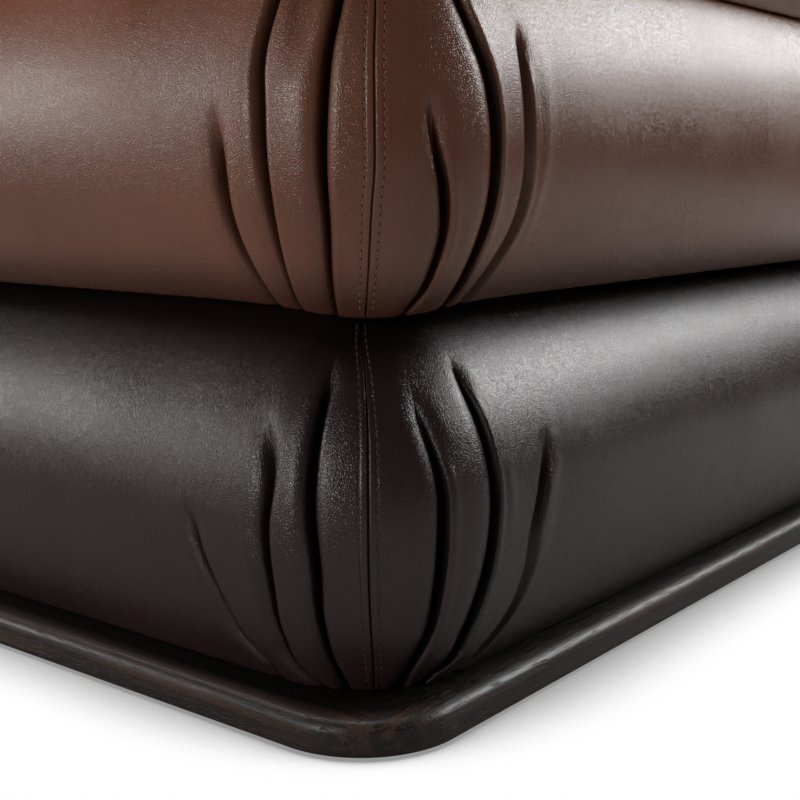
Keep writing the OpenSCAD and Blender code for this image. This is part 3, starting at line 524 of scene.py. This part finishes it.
def makeCover(name, shape, material):
    side, crinkle, creaseShade, plain = coverGrid(shape)
    rows, count = side.shape[:2]
    points, drawn, creased = [side.reshape(-1, 3)], [crinkle.ravel()], [creaseShade.ravel()]
    faces = []

    def strip(a, b, flip=False):
        j = np.arange(count)
        k = (j + 1) % count
        quads = np.stack([a + j, a + k, b + k, b + j], 1)
        faces.append(quads[:, ::-1] if flip else quads)

    for r in range(rows - 1):
        strip(r * count, (r + 1) * count)
    total = rows * count
    level = [shape["foot"], shape["foot"] + shape["height"]]
    for end, rim, shares in ((1, side[-1], shape["caps"][1]), (0, side[0], shape["caps"][0])):
        crown = (shape["crowns"] + [None])[1 - end]
        middle = np.array(crown["middle"] if crown else shape["middle"])
        previous = (rows - 1) * count if end else 0
        for share in shares:
            ring = rim.copy()
            flat = plain[end] + (rim[:, :2] - plain[end]) * share ** 18
            ring[:, :2] = middle + (flat - middle) * share
            ring[:, 2] = level[end] + (rim[:, 2] - level[end]) * share ** 6
            if crown:
                ring[:, 2] += (2 * end - 1) * crownRise(crown, ring[:, 0], ring[:, 1])
            points.append(ring)
            # the rim's painted crease shade and its crinkle fade into the cap
            gathered = (creaseShade[-1] if end else creaseShade[0]) * share ** 30
            drawn.append(0.5 * gathered + 0.05)
            creased.append(gathered)
            strip(previous, total, flip=not end)
            previous = total
            total += count
        tip = ring.mean(0)
        if end:
            tip[2] = level[1] + float(crownRise(crown, tip[0], tip[1]))
        points.append(tip[None])
        drawn.append([0.0])
        creased.append([0.0])
        j = np.arange(count)
        fan = np.stack([previous + j, previous + (j + 1) % count, np.full(count, total)], 1)
        faces.append(fan if end else fan[:, ::-1])
        total += 1
    everyFace = [f for block in faces for f in block]
    return addObject(name, np.concatenate(points), everyFace, [material],
                     {"crinkle": np.concatenate(drawn), "creaseShade": np.concatenate(creased)})


def tubeFaces(first, count, sides):
    # quads between rings that follow each other, and a lid at each end
    faces = []
    for r in range(count - 1):
        a, b = first + r * sides, first + (r + 1) * sides
        for j in range(sides):
            k = (j + 1) % sides
            faces.append((a + j, a + k, b + k, b + j))
    last = first + (count - 1) * sides
    faces.append(tuple(range(first, first + sides))[::-1])
    faces.append(tuple(range(last, last + sides)))
    return faces


# stitches: short threads that dip into their needle holes, in a row on each side of a seam
stitch = dict(pitch=4.85, length=3.1, radius=0.38, sides=6, hole=0.6, holeLift=0.28, holeSides=8)  # mm
stitch["along"] = np.array([-1, -0.86, -0.5, 0, 0.5, 0.86, 1.0])
stitch["girth"] = np.array([0.35, 0.8, 1, 1, 1, 0.8, 0.35])


def ringPoints(centre, across, other, radius, sides):
    angle = np.arange(sides)[:, None] * 2 * math.pi / sides
    return centre + radius * mm * (np.cos(angle) * across + np.sin(angle) * other)


def makeStitches(name, runs, threads, holeShade):
    points, faces, index = [], [], []
    lift = 0.42 - 0.8 * np.abs(stitch["along"]) ** 3
    total = 0
    for path, normal in runs:
        step = np.linalg.norm(np.diff(path, axis=0), axis=1)
        way = np.concatenate([[0], np.cumsum(step)])
        for place in np.arange(3 * mm, way[-1] - 2 * mm, stitch["pitch"] * mm):
            p = np.array([np.interp(place, way, path[:, k]) for k in range(3)])
            q = np.array([np.interp(place + 0.5 * mm, way, path[:, k]) for k in range(3)])
            n = np.array([np.interp(place, way, normal[:, k]) for k in range(3)])
            tangent = (q - p) / np.linalg.norm(q - p)
            n = n - tangent * n.dot(tangent)
            n = n / np.linalg.norm(n)
            b = np.cross(tangent, n)
            thread = []
            for a, l, g in zip(stitch["along"], lift, stitch["girth"]):
                centre = p + tangent * (a * stitch["length"] / 2 * mm) + n * (l * mm)
                thread.append(ringPoints(centre, b, n, stitch["radius"] * g, stitch["sides"]))
            centre = p + tangent * (stitch["pitch"] / 2 * mm) + n * stitch["holeLift"] * mm
            rim = ringPoints(centre, b * 0.75, tangent, stitch["hole"], stitch["holeSides"])
            for kind, rings in ((0, thread), (1, [rim - n * stitch["hole"] * mm, rim])):
                made = tubeFaces(total, len(rings), len(rings[0]))
                points += rings
                faces += made
                index += [kind] * len(made)
                total += len(rings) * len(rings[0])
    piece = addObject(name, np.concatenate(points), faces, [threads, holeShade])
    piece.data.polygons.foreach_set("material_index", index)
    piece.data.update()
    return piece


def seamRuns(shape):
    runs = []
    for quarter in range(4):
        corner = shape["corners"][quarter]
        u = np.linspace(0.02, 0.98, 400)
        seam = followLine(corner["seam"], u)
        for side in (-1, 1):
            s = corner["hand"] * (seam + side * seamForm["stitchesOff"] * mm * seamShare)
            path = coverPoint(shape, quarter, s, u)[0]
            x, y, nx, ny = planPoint(shape, quarter, s)
            runs.append((path, np.stack([nx, ny, np.zeros_like(nx)], -1)))
    return runs


def pleat(line, depth, left, right, **more):
    return {**foldDefaults, "line": line, "depth": depth, "left": left, "right": right, **more}


# pleats of the brown cushion's photographed corner
seatPleats = [
    pleat([(-79, .57), (-76, .41), (-77, .24), (-75, .15), (-71, .05)], 9.0, 17, 14,
          head=0.59, fade=0.26, soft=0.18, gap=9.0, lip=0.3),
    pleat([(-38, 1), (-46, .79), (-49, .65), (-48, .53), (-48, .41), (-48, .28), (-49, .15), (-51, .02)],
          8.0, 13, 12, gap=5.2),
    pleat([(-12, 1), (-16, .78), (-19, .68), (-21, .53), (-22, .37), (-22, .22), (-24, .09), (-25, .01)],
          8.0, 12, 11, gap=3.6),
    pleat([(21, .52), (25, .42), (29, .33), (32, .22), (31, .13), (28, .06), (22, .01)], 6.5, 12, 10,
          head=0.60, fade=0.14, soft=0.24, gap=3.6, wall=0.6, lip=1.2),
    pleat([(34, 1), (40, .81), (45, .72), (50, .63), (53, .54), (56, .40), (58, .27), (57, .15), (56, .04)],
          7.0, 13, 8, gap=3.4, wall=0.85, lip=1.5),
    pleat([(82, .74), (84, .58), (86, .44), (88, .34), (86, .21), (80, .12), (74, .03)], 7.5, 11, 9,
          head=0.80, fade=0.16, soft=0.16, gap=4.6, wall=0.75, lip=1.4),
]
seatRidges = [
    dict(line=[(102, .66), (102, .48), (99, .25)], height=1.4, width=5, head=0.8, foot=0.05, fade=0.3),
    dict(line=[(-29, .95), (-31, .84), (-33, .74)], height=-4.0, width=6, head=1.1, foot=0.58, fade=0.2),
]
seatSeam = [(-1, 1), (-1, .80), (-2, .65), (-2, .50), (-2, .37), (-3, .28), (-4, .14), (-5, .03)]
# and of the dark cushion's
basePleats = [
    pleat([(-107, .46), (-96, .32), (-87, .22), (-77, .12), (-62, .04)], 6.5, 13, 12,
          head=0.50, fade=0.16, soft=0.1),
    pleat([(-55, .70), (-49, .58), (-50, .44), (-49, .29), (-48, .15), (-41, .05), (-28, 0)], 8.0, 14, 13,
          head=0.76, fade=0.16, soft=0.34, gap=4.2),
    pleat([(-26, .89), (-27, .76), (-28, .63), (-28, .50), (-26, .35), (-26, .21), (-22, .08), (-17, .01)],
          8.0, 12, 12, head=0.92, fade=0.16, soft=0.2, gap=4.0),
    pleat([(20, .77), (25, .66), (28, .55), (28, .45), (27, .29), (24, .15), (16, .04)], 6.5, 12, 10,
          head=0.84, fade=0.16, soft=0.26, gap=3.6, wall=0.75, lip=1.2),
    pleat([(56, .81), (57, .74), (58, .64), (58, .53), (56, .38), (52, .25), (47, .14), (41, .06), (32, .03)],
          7.0, 13, 8, head=0.90, fade=0.14, soft=0.14, gap=3.6, wall=0.85, lip=1.4),
    pleat([(112, .58), (104, .46), (99, .38), (97, .26), (86, .13), (69, .05), (55, .01)], 7.5, 12, 10,
          head=0.66, fade=0.16, soft=0.14, gap=3.6, wall=0.6, lip=1.2),
]
baseRidges = [
    dict(line=[(122, .60), (115, .52), (106, .31)], height=1.4, width=6, head=0.75, foot=0.1, fade=0.3),
    dict(line=[(66, .84), (68, .72), (70, .60)], height=1.2, width=5, head=0.95, foot=0.3, fade=0.3),
]
baseSeam = [(-9, .99), (-9, .96), (-6, .85), (-5, .73), (-5, .56), (-5, .39), (-4, .20), (-2, .05)]


def varied(pleats, rng, amount=1.0, scale=1.0):
    # the same hand sewed the other corners: alike, not equal
    made = []
    for p in pleats:
        shift, lean = rng.normal(0, 2.0 * amount), rng.normal(0, 3.0 * amount)
        line = [(scale * (s + shift + lean * (u - 0.5)), u) for s, u in p["line"]]
        more = {k: v for k, v in p.items() if k not in ("line", "depth", "left", "right")}
        if "head" in more:
            more["head"] = more["head"] + rng.normal(0, 0.05 * amount)
        made.append(pleat(line, p["depth"] * rng.uniform(0.85, 1.1), p["left"] * max(scale, 0.8),
                          p["right"] * max(scale, 0.8), **more))
    return made


def corners(pleats, ridges, seam, seed, steps, scale=1.0):
    rng = np.random.default_rng(seed)
    made = []
    for quarter in range(4):
        hand = 1 if quarter in (1, 3) else -1
        hero = quarter == 3 and steps[0] < steps[1]
        made.append(dict(hand=hand, seam=[(s * scale, u) for s, u in seam],
                         pleats=pleats if hero else varied(pleats, rng, 1.0, scale),
                         ridges=ridges if hero else [], step=steps[0] if hero else steps[1]))
    return made


capShares = [0.995, 0.985, 0.97, 0.95, 0.92, 0.87, 0.79, 0.68, 0.54, 0.38, 0.2]
hiddenCap = [0.97, 0.6, 0.2]
tier = dict(size=(0.930, 0.874), middle=(0, 0), radius=0.071, belly=0.025, dip=6, rows=104)
# valleyShade: painted shade on the dark cover's top, under the seat
baseShape = dict(tier, foot=0.0222, height=0.2128, skew=0.9, ease=(1.0, 0.85), tuck=(0.0, 0.038),
                 slack=((0.95, 0), (0.86, 20)), valleyShade=0.9, dips=(0, 1), lobe=2.2,
                 corners=corners(basePleats, baseRidges, baseSeam, 11, (1.25, 2.6)),
                 caps=(hiddenCap, [0.985, 0.94, 0.8, 0.4]),
                 crowns=[dict(middle=(0, 0), half=(1, 1), rise=0)])
baseLeather = makeCover("base_leather", baseShape, darkLeather)
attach(baseLeather, "chair")
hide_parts("base_cover")
print("base cover", len(baseLeather.data.polygons))

# bottomShade: painted shade on the seat cover's bottom edge
seatShape = dict(tier, foot=0.2353, height=0.1967, skew=1.0, ease=(0.78, 0.8), tuck=(0.013, 0.008),
                 slack=((0.93, 11), (0.95, 8)), dips=(1, 0), lobe=2.6, bottomShade=0.6,
                 corners=corners(seatPleats, seatRidges, seatSeam, 12, (1.25, 2.6)),
                 caps=(hiddenCap, capShares),
                 crowns=[dict(middle=(0, -0.195), half=(0.272, 0.242), rise=8, power=(4, 4), ease=0.8)])
seatLeather = makeCover("seat_leather", seatShape, brownLeather)
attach(seatLeather, "chair")
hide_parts("seat_cover")
print("seat cover", len(seatLeather.data.polygons))

# the arms and the back stand on the seat, with the same pleats drawn smaller
smallScale = 0.72
upper = dict(foot=0.4323, radius=0.052, belly=0.012, skew=1.0, tuck=(0.003, 0.010), dip=0, dips=(0, 0),
             lobe=0, caps=(hiddenCap, capShares))
armSize = (0.190, 0.6397)
armPieces = []
for name, side in (("right", 1), ("left", -1)):
    armMiddle = (0.370 * side, -0.11715)
    armCrown = dict(middle=armMiddle, half=[x / 2 for x in armSize], rise=8, power=(2.4, 14), ease=0.6)
    shape = dict(upper, size=armSize, middle=armMiddle, height=0.1847, rows=64, wave=0.4,
                 outer=((side, 0, 0.013), (0, -1, 0.013)), crowns=[armCrown],
                 corners=corners(seatPleats, [], seatSeam, 13 + side, (2.2, 2.2), smallScale))
    armLeather = makeCover("arm_leather_" + name, shape, brownLeather)
    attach(armLeather, "chair")
    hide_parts("arm_cover_" + name)
    armPieces.append((shape, name))

backMiddle = (0, 0.332)
backShape = dict(upper, size=(0.930, 0.210), middle=backMiddle, height=0.3597, rows=90, wave=0.5,
                 corners=corners(seatPleats, [], seatSeam, 21, (2.2, 2.2), smallScale),
                 outer=((1, 0, 0.008), (-1, 0, 0.008), (0, 1, 0.008)),
                 crowns=[dict(middle=backMiddle, half=(0.465, 0.105), rise=8, power=(14, 2.4), ease=0.6)])
backLeather = makeCover("back_leather", backShape, brownLeather)
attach(backLeather, "chair")
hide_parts("back_cover")
print("arms and back")

# the loose cushion is built lying down, then stood up against the back
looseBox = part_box("loose_cushion_cover")
looseForm = dict(smaller=0.026, offRear=0.010, height=0.126, rise=28, rearRise=8)
looseWidth = looseBox[1].x - looseBox[0].x - looseForm["smaller"]
looseHeight = looseBox[1].z - looseBox[0].z - looseForm["smaller"]
looseRear = looseBox[1].y - looseForm["offRear"]
looseMiddleZ = (looseBox[0].z + looseBox[1].z) / 2
looseCrown = dict(middle=(0, 0), half=(looseWidth / 2, looseHeight / 2), power=(2.2, 2.2))
looseShape = dict(size=(looseWidth, looseHeight), middle=(0, 0), foot=0.0, height=looseForm["height"],
                  radius=0.052, belly=0.010, skew=1.0, tuck=(0.003, 0.003), dip=0, dips=(0, 0), rows=56,
                  wave=0.6, lobe=0, corners=corners(seatPleats, [], seatSeam, 31, (2.4, 2.4), 0.66),
                  caps=(capShares, capShares),
                  crowns=[dict(looseCrown, rise=looseForm["rise"], ease=0.62),
                          dict(looseCrown, rise=looseForm["rearRise"], ease=0.7)])
looseLeather = makeCover("loose_cushion_leather", looseShape, brownLeather)


def standUp(co):
    return np.stack([co[:, 0], looseRear - co[:, 2], looseMiddleZ + co[:, 1]], -1)


setPoints(looseLeather.data, standUp(getPoints(looseLeather.data)))


pump = dict(voxel=0.005, pressure=4.0, cap=0.014, frames=20, shrink=0.01)


def pumpUp(piece):
    # the cloth solver blows the sewn cover up; no point moves further than the cap
    scene, cap = bpy.context.scene, pump["cap"]
    old = piece.data
    drawn = np.zeros(len(old.vertices))
    old.attributes["crinkle"].data.foreach_get("value", drawn)
    tree = KDTree(len(old.vertices))
    for k, vertex in enumerate(old.vertices):
        tree.insert(vertex.co, k)
    tree.balance()
    remesh = piece.modifiers.new("remesh", "REMESH")
    remesh.mode = "VOXEL"
    remesh.voxel_size = pump["voxel"]
    graph = bpy.context.evaluated_depsgraph_get()
    piece.data = bpy.data.meshes.new_from_object(piece.evaluated_get(graph))
    piece.modifiers.clear()
    start = getPoints(piece.data)
    cloth = piece.modifiers.new("cloth", "CLOTH")
    cloth.settings.use_pressure = True
    cloth.settings.uniform_pressure_force = pump["pressure"]
    cloth.settings.effector_weights.gravity = 0
    cloth.settings.shrink_min = pump["shrink"]
    cloth.point_cache.frame_end = pump["frames"]
    for frameNumber in range(1, pump["frames"] + 1):
        scene.frame_set(frameNumber)
    blown = getPoints(piece.evaluated_get(bpy.context.evaluated_depsgraph_get()).data)
    piece.modifiers.clear()
    scene.frame_set(1)
    far = np.linalg.norm(blown - start, axis=1, keepdims=True)
    move = (blown - start) * np.tanh(far / cap) * cap / np.maximum(far, 1e-9)
    near = [tree.find(co)[1] for co in start]
    piece.data.attributes.new("crinkle", "FLOAT", "POINT").data.foreach_set("value", drawn[near])
    piece.data.polygons.foreach_set("use_smooth", [True] * len(piece.data.polygons))
    setPoints(piece.data, start + move)
    subdivide = piece.modifiers.new("subdivide", "SUBSURF")
    subdivide.levels = subdivide.render_levels = 1
    print("cushion blown up", len(start), "points, furthest", round(float(far.max()) / mm, 1), "mm")


pumpUp(looseLeather)

# the underside leaves a channel for the zip
channel = dict(beside=2 * mm, slope=9 * mm, above=0.8 * mm, reach=12 * mm)
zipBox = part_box("zip_tape")
co = getPoints(looseLeather.data)
past = []
for k in (0, 1):
    half = (zipBox[1][k] - zipBox[0][k]) / 2 + channel["beside"]
    past.append(np.maximum(np.abs(co[:, k] - (zipBox[0][k] + zipBox[1][k]) / 2) - half, 0))
lift = (1 - ramp(np.hypot(*past), 0, channel["slope"])) * (co[:, 2] < zipBox[1].z + channel["reach"])
co[:, 2] += np.maximum(zipBox[1].z + channel["above"] - co[:, 2], 0) * lift
setPoints(looseLeather.data, co)
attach(looseLeather, "loose_cushion")
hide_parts("loose_cushion_cover")

# painted shade: a near-black plug at each needle hole stands for the shade inside it
needleHoleShade, tree, shader, place = newMaterial("needle hole", Roughness=0.8)
tree.links.new(blendColours(tree, noise(tree, place, 800.0), srgb(22, 12, 9), srgb(40, 24, 18)),
               shader.inputs["Base Color"])
sewn = [("base_stitches", baseShape, darkThread, "dark_leather"),
        ("seat_stitches", seatShape, brownThread, "brown_leather"),
        ("back_stitches", backShape, brownThread, "brown_leather")]
sewn += [("arm_stitches_" + name, shape, brownThread, "brown_leather") for shape, name in armPieces]
for name, shape, thread, slot in sewn:
    stitches = makeStitches(name, seamRuns(shape), thread, needleHoleShade)
    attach(stitches, "chair")
print("stitches")

rail = dict(width=0.170, thick=0.020, lift=0.002, corner=0.063, round=0.008, arris=0.0009,
            long=0.980, short=0.940, rebate=0.155, rebateDeep=0.0119)
# how far in the profile's points lie, underneath and on top
rail["under"] = (rail["width"], 0.12, 0.08, rail["corner"], 0.045, 0.03, 0.015, 0.004)
rail["over"] = (0.012, 0.018, 0.026, 0.04, rail["corner"], 0.1, rail["rebate"])


def railProfile():
    # (distance in from the outer edge, height), from the inner bottom edge round to the inner top
    r, t, w, a = rail["round"], rail["thick"], rail["width"], rail["arris"]
    profile = [(x, 0) for x in rail["under"]]
    profile += [(a, 0), (0.3 * a, 0.3 * a), (0, a)]
    profile += [(0, h) for h in np.linspace(a, t - r, 6)[1:]]
    for angle in np.linspace(0, math.pi / 2, 17)[1:]:
        profile.append((r - r * math.cos(angle), t - r + r * math.sin(angle)))
    profile += [(x, t) for x in rail["over"]]
    profile += [(x, t - rail["rebateDeep"]) for x in (rail["rebate"], w)]
    return np.array(profile)


def makeRail(name, length, turn, reach, material):
    profile = railProfile()
    half = length / 2 - rail["corner"]
    angles = np.linspace(math.pi / 4, 0, 25)
    way = np.linspace(-half, half, 90)
    points = []
    for a in angles[:-1]:  # left corner, middle, right corner
        points.append(railSection(profile, -half, a, -1))
    for x in way:
        points.append(railSection(profile, x, 0, 0, half))
    for a in angles[::-1][1:]:
        points.append(railSection(profile, half, a, 1))
    grid = np.array(points)
    n, m = grid.shape[:2]
    c, s = math.cos(turn), math.sin(turn)
    flat = grid.reshape(-1, 3)
    y = flat[:, 1] - reach
    placed = np.stack([c * flat[:, 0] - s * y, s * flat[:, 0] + c * y, flat[:, 2] + rail["lift"]], -1)
    edge = bell(profile[:, 0] + rail["thick"] - profile[:, 1], 0.012)
    # painted shade mask: the plinth's top in from the bullnose, where the cushion's overhang shades it
    under = ramp(profile[:, 0], 0.007, 0.016) * (profile[:, 1] > 0.6 * rail["thick"])
    piece = addObject(name, placed, tubeFaces(0, n, m), [material],
                      {"wear": np.tile(edge, n), "shaded": np.tile(under, n)})
    work = bmesh.new()
    work.from_mesh(piece.data)
    bmesh.ops.remove_doubles(work, verts=work.verts, dist=0.00002)
    bmesh.ops.dissolve_degenerate(work, edges=work.edges, dist=0.00002)
    bmesh.ops.recalc_face_normals(work, faces=work.faces)
    work.to_mesh(piece.data)
    work.free()
    piece.data.polygons.foreach_set("use_smooth", [True] * len(piece.data.polygons))
    return piece


def railSection(profile, x, angle, side, half=None):
    # one cut through the rail; beyond the straight it swings round the plinth's corner
    t, h = profile[:, 0], profile[:, 1]
    corner = rail["corner"]
    inner = np.maximum(t - corner, 0)
    if side:
        r = np.maximum(corner - t, 0)
        px = x + side * (r * math.sin(angle) - inner)
        py = corner - r * math.cos(angle) + inner
        return np.stack([px, py, h], -1)
    return np.stack([x * (half - inner) / half, t, h], -1)


railSides = {"front": (rail["long"], rail["short"], 0, oakAcross),
             "right": (rail["short"], rail["long"], 1, oakAlong),
             "back": (rail["long"], rail["short"], 2, oakAcross),
             "left": (rail["short"], rail["long"], -1, oakAlong)}
for name, (length, apart, quarters, material) in railSides.items():
    railPiece = makeRail("plinth_oak_" + name, length, quarters * math.pi / 2, apart / 2, material)
    split = railPiece.modifiers.new("edges", "EDGE_SPLIT")
    split.split_angle = math.radians(40)
    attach(railPiece, "chair")
    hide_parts("plinth_rail_" + name)
print("plinth")


def foamCells(tree, place):
    return addNode(tree, "ShaderNodeTexVoronoi", {"Vector": place, "Scale": 700.0}).outputs["Distance"]


def fluff(tree, place):
    return noise(tree, place, 160.0, 6.0, 0.7)


def weave(tree, place):
    return times(tree, wave(tree, place, 160.0, "X"), wave(tree, place, 160.0, "Y"))


def specks(tree, place):
    return noise(tree, place, 1400.0, 3.0)


foamCore = twoTone("foam", 0.9, foamCells, srgb(222, 206, 158), srgb(240, 228, 190), 0.4 * mm)
wadding = twoTone("wadding", 0.95, fluff, srgb(214, 214, 208), srgb(244, 244, 240), 1.0 * mm)
webbing = twoTone("webbing", 0.85, weave, srgb(52, 44, 40), srgb(96, 84, 76), 0.5 * mm)
glidePlastic = twoTone("black plastic", 0.5, specks, srgb(16, 16, 17), srgb(34, 34, 35), 0.1 * mm)


def metalMaterial(name, dark, light, roughness):
    material, tree, shader, place = newMaterial(name, Metallic=1.0, Roughness=roughness)
    mottle = noise(tree, place, 260.0, 4.0, 0.6)
    gloss = rescale(tree, mottle, 0.3, 0.7, roughness - 0.06, roughness + 0.08)
    plug(tree, shader, {"Base Color": blendColours(tree, mottle, dark, light), "Roughness": gloss})
    return material


zincSteel = metalMaterial("zinc plated steel", srgb(150, 150, 144), srgb(186, 186, 182), 0.38)
zipMetal = metalMaterial("dark zip metal", srgb(84, 78, 72), srgb(128, 120, 110), 0.3)

softNodes = ["base_foam_slab", "base_foam_wall", "seat_core_foam", "seat_topper", "arm_foam_left",
             "arm_foam_right", "back_foam", "loose_cushion_fill"]
trimmed = {"base_foam_wall": (1, 0.022), "seat_core_foam": (-1, 0.014), "seat_topper": (1, 0.010)}


knife = dict(corner=0.057, level=0.5 * mm, reach=5 * mm)


def trimEdge(work, end, cut):
    # the knife takes the sharp outer edge off a foam block, at its top (1) or its bottom (-1)
    level = max(end * v.co.z for v in work.verts) - knife["level"]
    half = [max(abs(v.co[k]) for v in work.verts) for k in (0, 1)]
    caps = []
    for f in work.faces:
        if end * f.normal.z > 0.9 and all(end * v.co.z > level for v in f.verts):
            caps.append(f)
    bmesh.ops.inset_region(work, faces=caps, thickness=cut, use_even_offset=True, use_boundary=True)
    for v in work.verts:
        q = [abs(v.co[k]) - half[k] + knife["corner"] for k in (0, 1)]
        past = math.hypot(max(q[0], 0), max(q[1], 0)) + min(max(q), 0) - knife["corner"]
        if end * v.co.z > level and past > -knife["reach"]:
            v.co.z -= end * cut


fillShare = 0.88  # the pumped cover draws the fill together
soft = dict(round=4 * mm, segments=3, over=math.radians(50))
for node in softNodes:
    # a foam part keeps its cut shape, with edges that the knife and the glue have softened
    foam = node not in ("seat_topper", "loose_cushion_fill")
    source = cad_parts[node]
    core = bpy.data.objects.new(node.replace("foam", "core") + "_soft", source.data.copy())
    core.data.materials.clear()
    core.data.materials.append(foamCore if foam else wadding)
    bpy.context.scene.collection.objects.link(core)
    work = bmesh.new()
    work.from_mesh(core.data)
    bmesh.ops.remove_doubles(work, verts=work.verts, dist=0.00001)
    bmesh.ops.dissolve_limit(work, angle_limit=math.radians(2), verts=work.verts, edges=work.edges)
    if node in trimmed:
        trimEdge(work, *trimmed[node])
    if node == "loose_cushion_fill":
        middle = sum((v.co for v in work.verts), Vector()) / len(work.verts)
        for v in work.verts:
            v.co = middle + fillShare * (v.co - middle)
    work.to_mesh(core.data)
    work.free()
    soften = core.modifiers.new("soften", "BEVEL")
    soften.width = soft["round"]
    soften.segments = soft["segments"]
    soften.limit_method = "ANGLE"
    soften.angle_limit = soft["over"]
    body = "loose_cushion" if node.startswith("loose") else "chair"
    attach(core, body)
    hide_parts(node)

finishes = {
    beechAcross: ["plinth_tongues", "base_rail_front", "base_rail_back", "corner_blocks", "arm_posts",
                  "back_posts", "back_bottom_rail", "back_end_boards", "back_top_rail"],
    beechAlong: ["base_rail_left", "base_rail_right", "base_stretcher", "carcass_dowels"],
    plyFace: ["plinth_deck"],
    zincSteel: ["deck_screws", "glide_screws", "lag_bolts", "lag_washers", "post_bolts", "post_nuts"],
    glidePlastic: ["glides"],
    webbing: ["base_webbing", "back_webbing", "zip_tape"],
    zipMetal: ["zip_slider"],
}
armBoards = ["arm_base_board_", "arm_end_boards_", "arm_top_board_"]
finishes[beechAlong] += [board + side for board in armBoards for side in ("left", "right")]
for material, nodes in finishes.items():
    for node in nodes:
        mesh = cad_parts[node].data
        for k in range(len(mesh.materials)):
            mesh.materials[k] = material
        if not mesh.materials:
            mesh.materials.append(material)
print("hidden parts")

# the camera sees white paper with a painted contact shadow, darker where ambient occlusion finds the chair;
# for the light that it throws back the paper is grey, painted paler on the window's side as painted light
# from the window
paper = dict(reach=0.13, samples=24, closed=0.48, open=0.74, darkest=0.3, half=9,
             grey=(0.28, 0.28, 0.28, 1), windowLitGrey=(0.42, 0.42, 0.42, 1))
white, black = (1, 1, 1, 1), (0, 0, 0, 1)
floorPaint, tree, shader, place = newMaterial("floor", Roughness=0.9)
cloud = noise(tree, place, 1.5, 2.0)
seen = addNode(tree, "ShaderNodeLightPath").outputs["Is Camera Ray"]
# painted contact shadow: ambient occlusion darkens the white that the camera sees
contact = addNode(tree, "ShaderNodeAmbientOcclusion", {"Distance": paper["reach"]}, samples=paper["samples"])
shade = addNode(tree, "ShaderNodeMapRange", {0: contact.outputs["AO"], 1: paper["closed"], 2: paper["open"],
                                             3: paper["darkest"], 4: 1.0}).outputs[0]
shade = times(tree, shade, rescale(tree, cloud, 0.3, 0.7, 0.995, 1.0))
apart = addNode(tree, "ShaderNodeSeparateXYZ", {0: place}).outputs
side = maths(tree, "ADD", apart[0], times(tree, apart[1], 0.5))
grey = blendColours(tree, rescale(tree, side, 0.1, 0.45), paper["grey"], paper["windowLitGrey"])
glow = blendColours(tree, times(tree, seen, shade), black, white)
plug(tree, shader, {"Base Color": blendColours(tree, seen, grey, black), "Emission Color": glow,
                    "Emission Strength": 1.0, "Specular IOR Level": 0.0})
w = paper["half"]
floor = addObject("floor", [(-w, -w, 0), (w, -w, 0), (w, w, 0), (-w, w, 0)], [(0, 1, 2, 3)], [floorPaint])

world = bpy.data.worlds.new("studio")
bpy.context.scene.world = world
world.use_nodes = True
worldTree = world.node_tree
sky = worldTree.nodes["Background"]
plug(worldTree, sky, {"Color": white, "Strength": 0.02})
backdrop = addNode(worldTree, "ShaderNodeBackground", {"Color": white})
cameraRay = addNode(worldTree, "ShaderNodeLightPath").outputs["Is Camera Ray"]
mix = addNode(worldTree, "ShaderNodeMixShader", {0: cameraRay, 1: sky.outputs[0], 2: backdrop.outputs[0]})
plug(worldTree, worldTree.nodes["World Output"], {"Surface": mix.outputs[0]})

# round softboxes, by the way that their light comes from: bearing from +X, rise, watts
softbox = dict(size=0.9, away=2.6, aim=Vector((0.3, -0.3, 0.3)))
softboxes = {"left softbox high": (180, 56, 27), "front left low": (210, 10, 15),
             "front left fill": (240, 10, 5), "front fill": (270, 10, 22), "window right": (50, 24, 24),
             "window middle": (70, 24, 17), "window left": (90, 10, 7), "ceiling": (0, 90, 34)}
for lampName, (bearing, rise, watts) in softboxes.items():
    turn, tilt = math.radians(bearing), math.radians(rise)
    way = Vector((math.cos(tilt) * math.cos(turn), math.cos(tilt) * math.sin(turn), math.sin(tilt)))
    lamp = bpy.data.lights.new(lampName, "AREA")
    lamp.shape = "DISK"
    lamp.size = softbox["size"]
    lamp.energy = watts
    box = bpy.data.objects.new(lampName, lamp)
    box.location = softbox["aim"] + softbox["away"] * way
    box.rotation_euler = (-way).to_track_quat("-Z", "Y").to_euler()
    box.visible_camera = False
    bpy.context.scene.collection.objects.link(box)

bpy.context.scene.view_settings.view_transform = "Standard"
bpy.context.view_layer.update()
print("done")
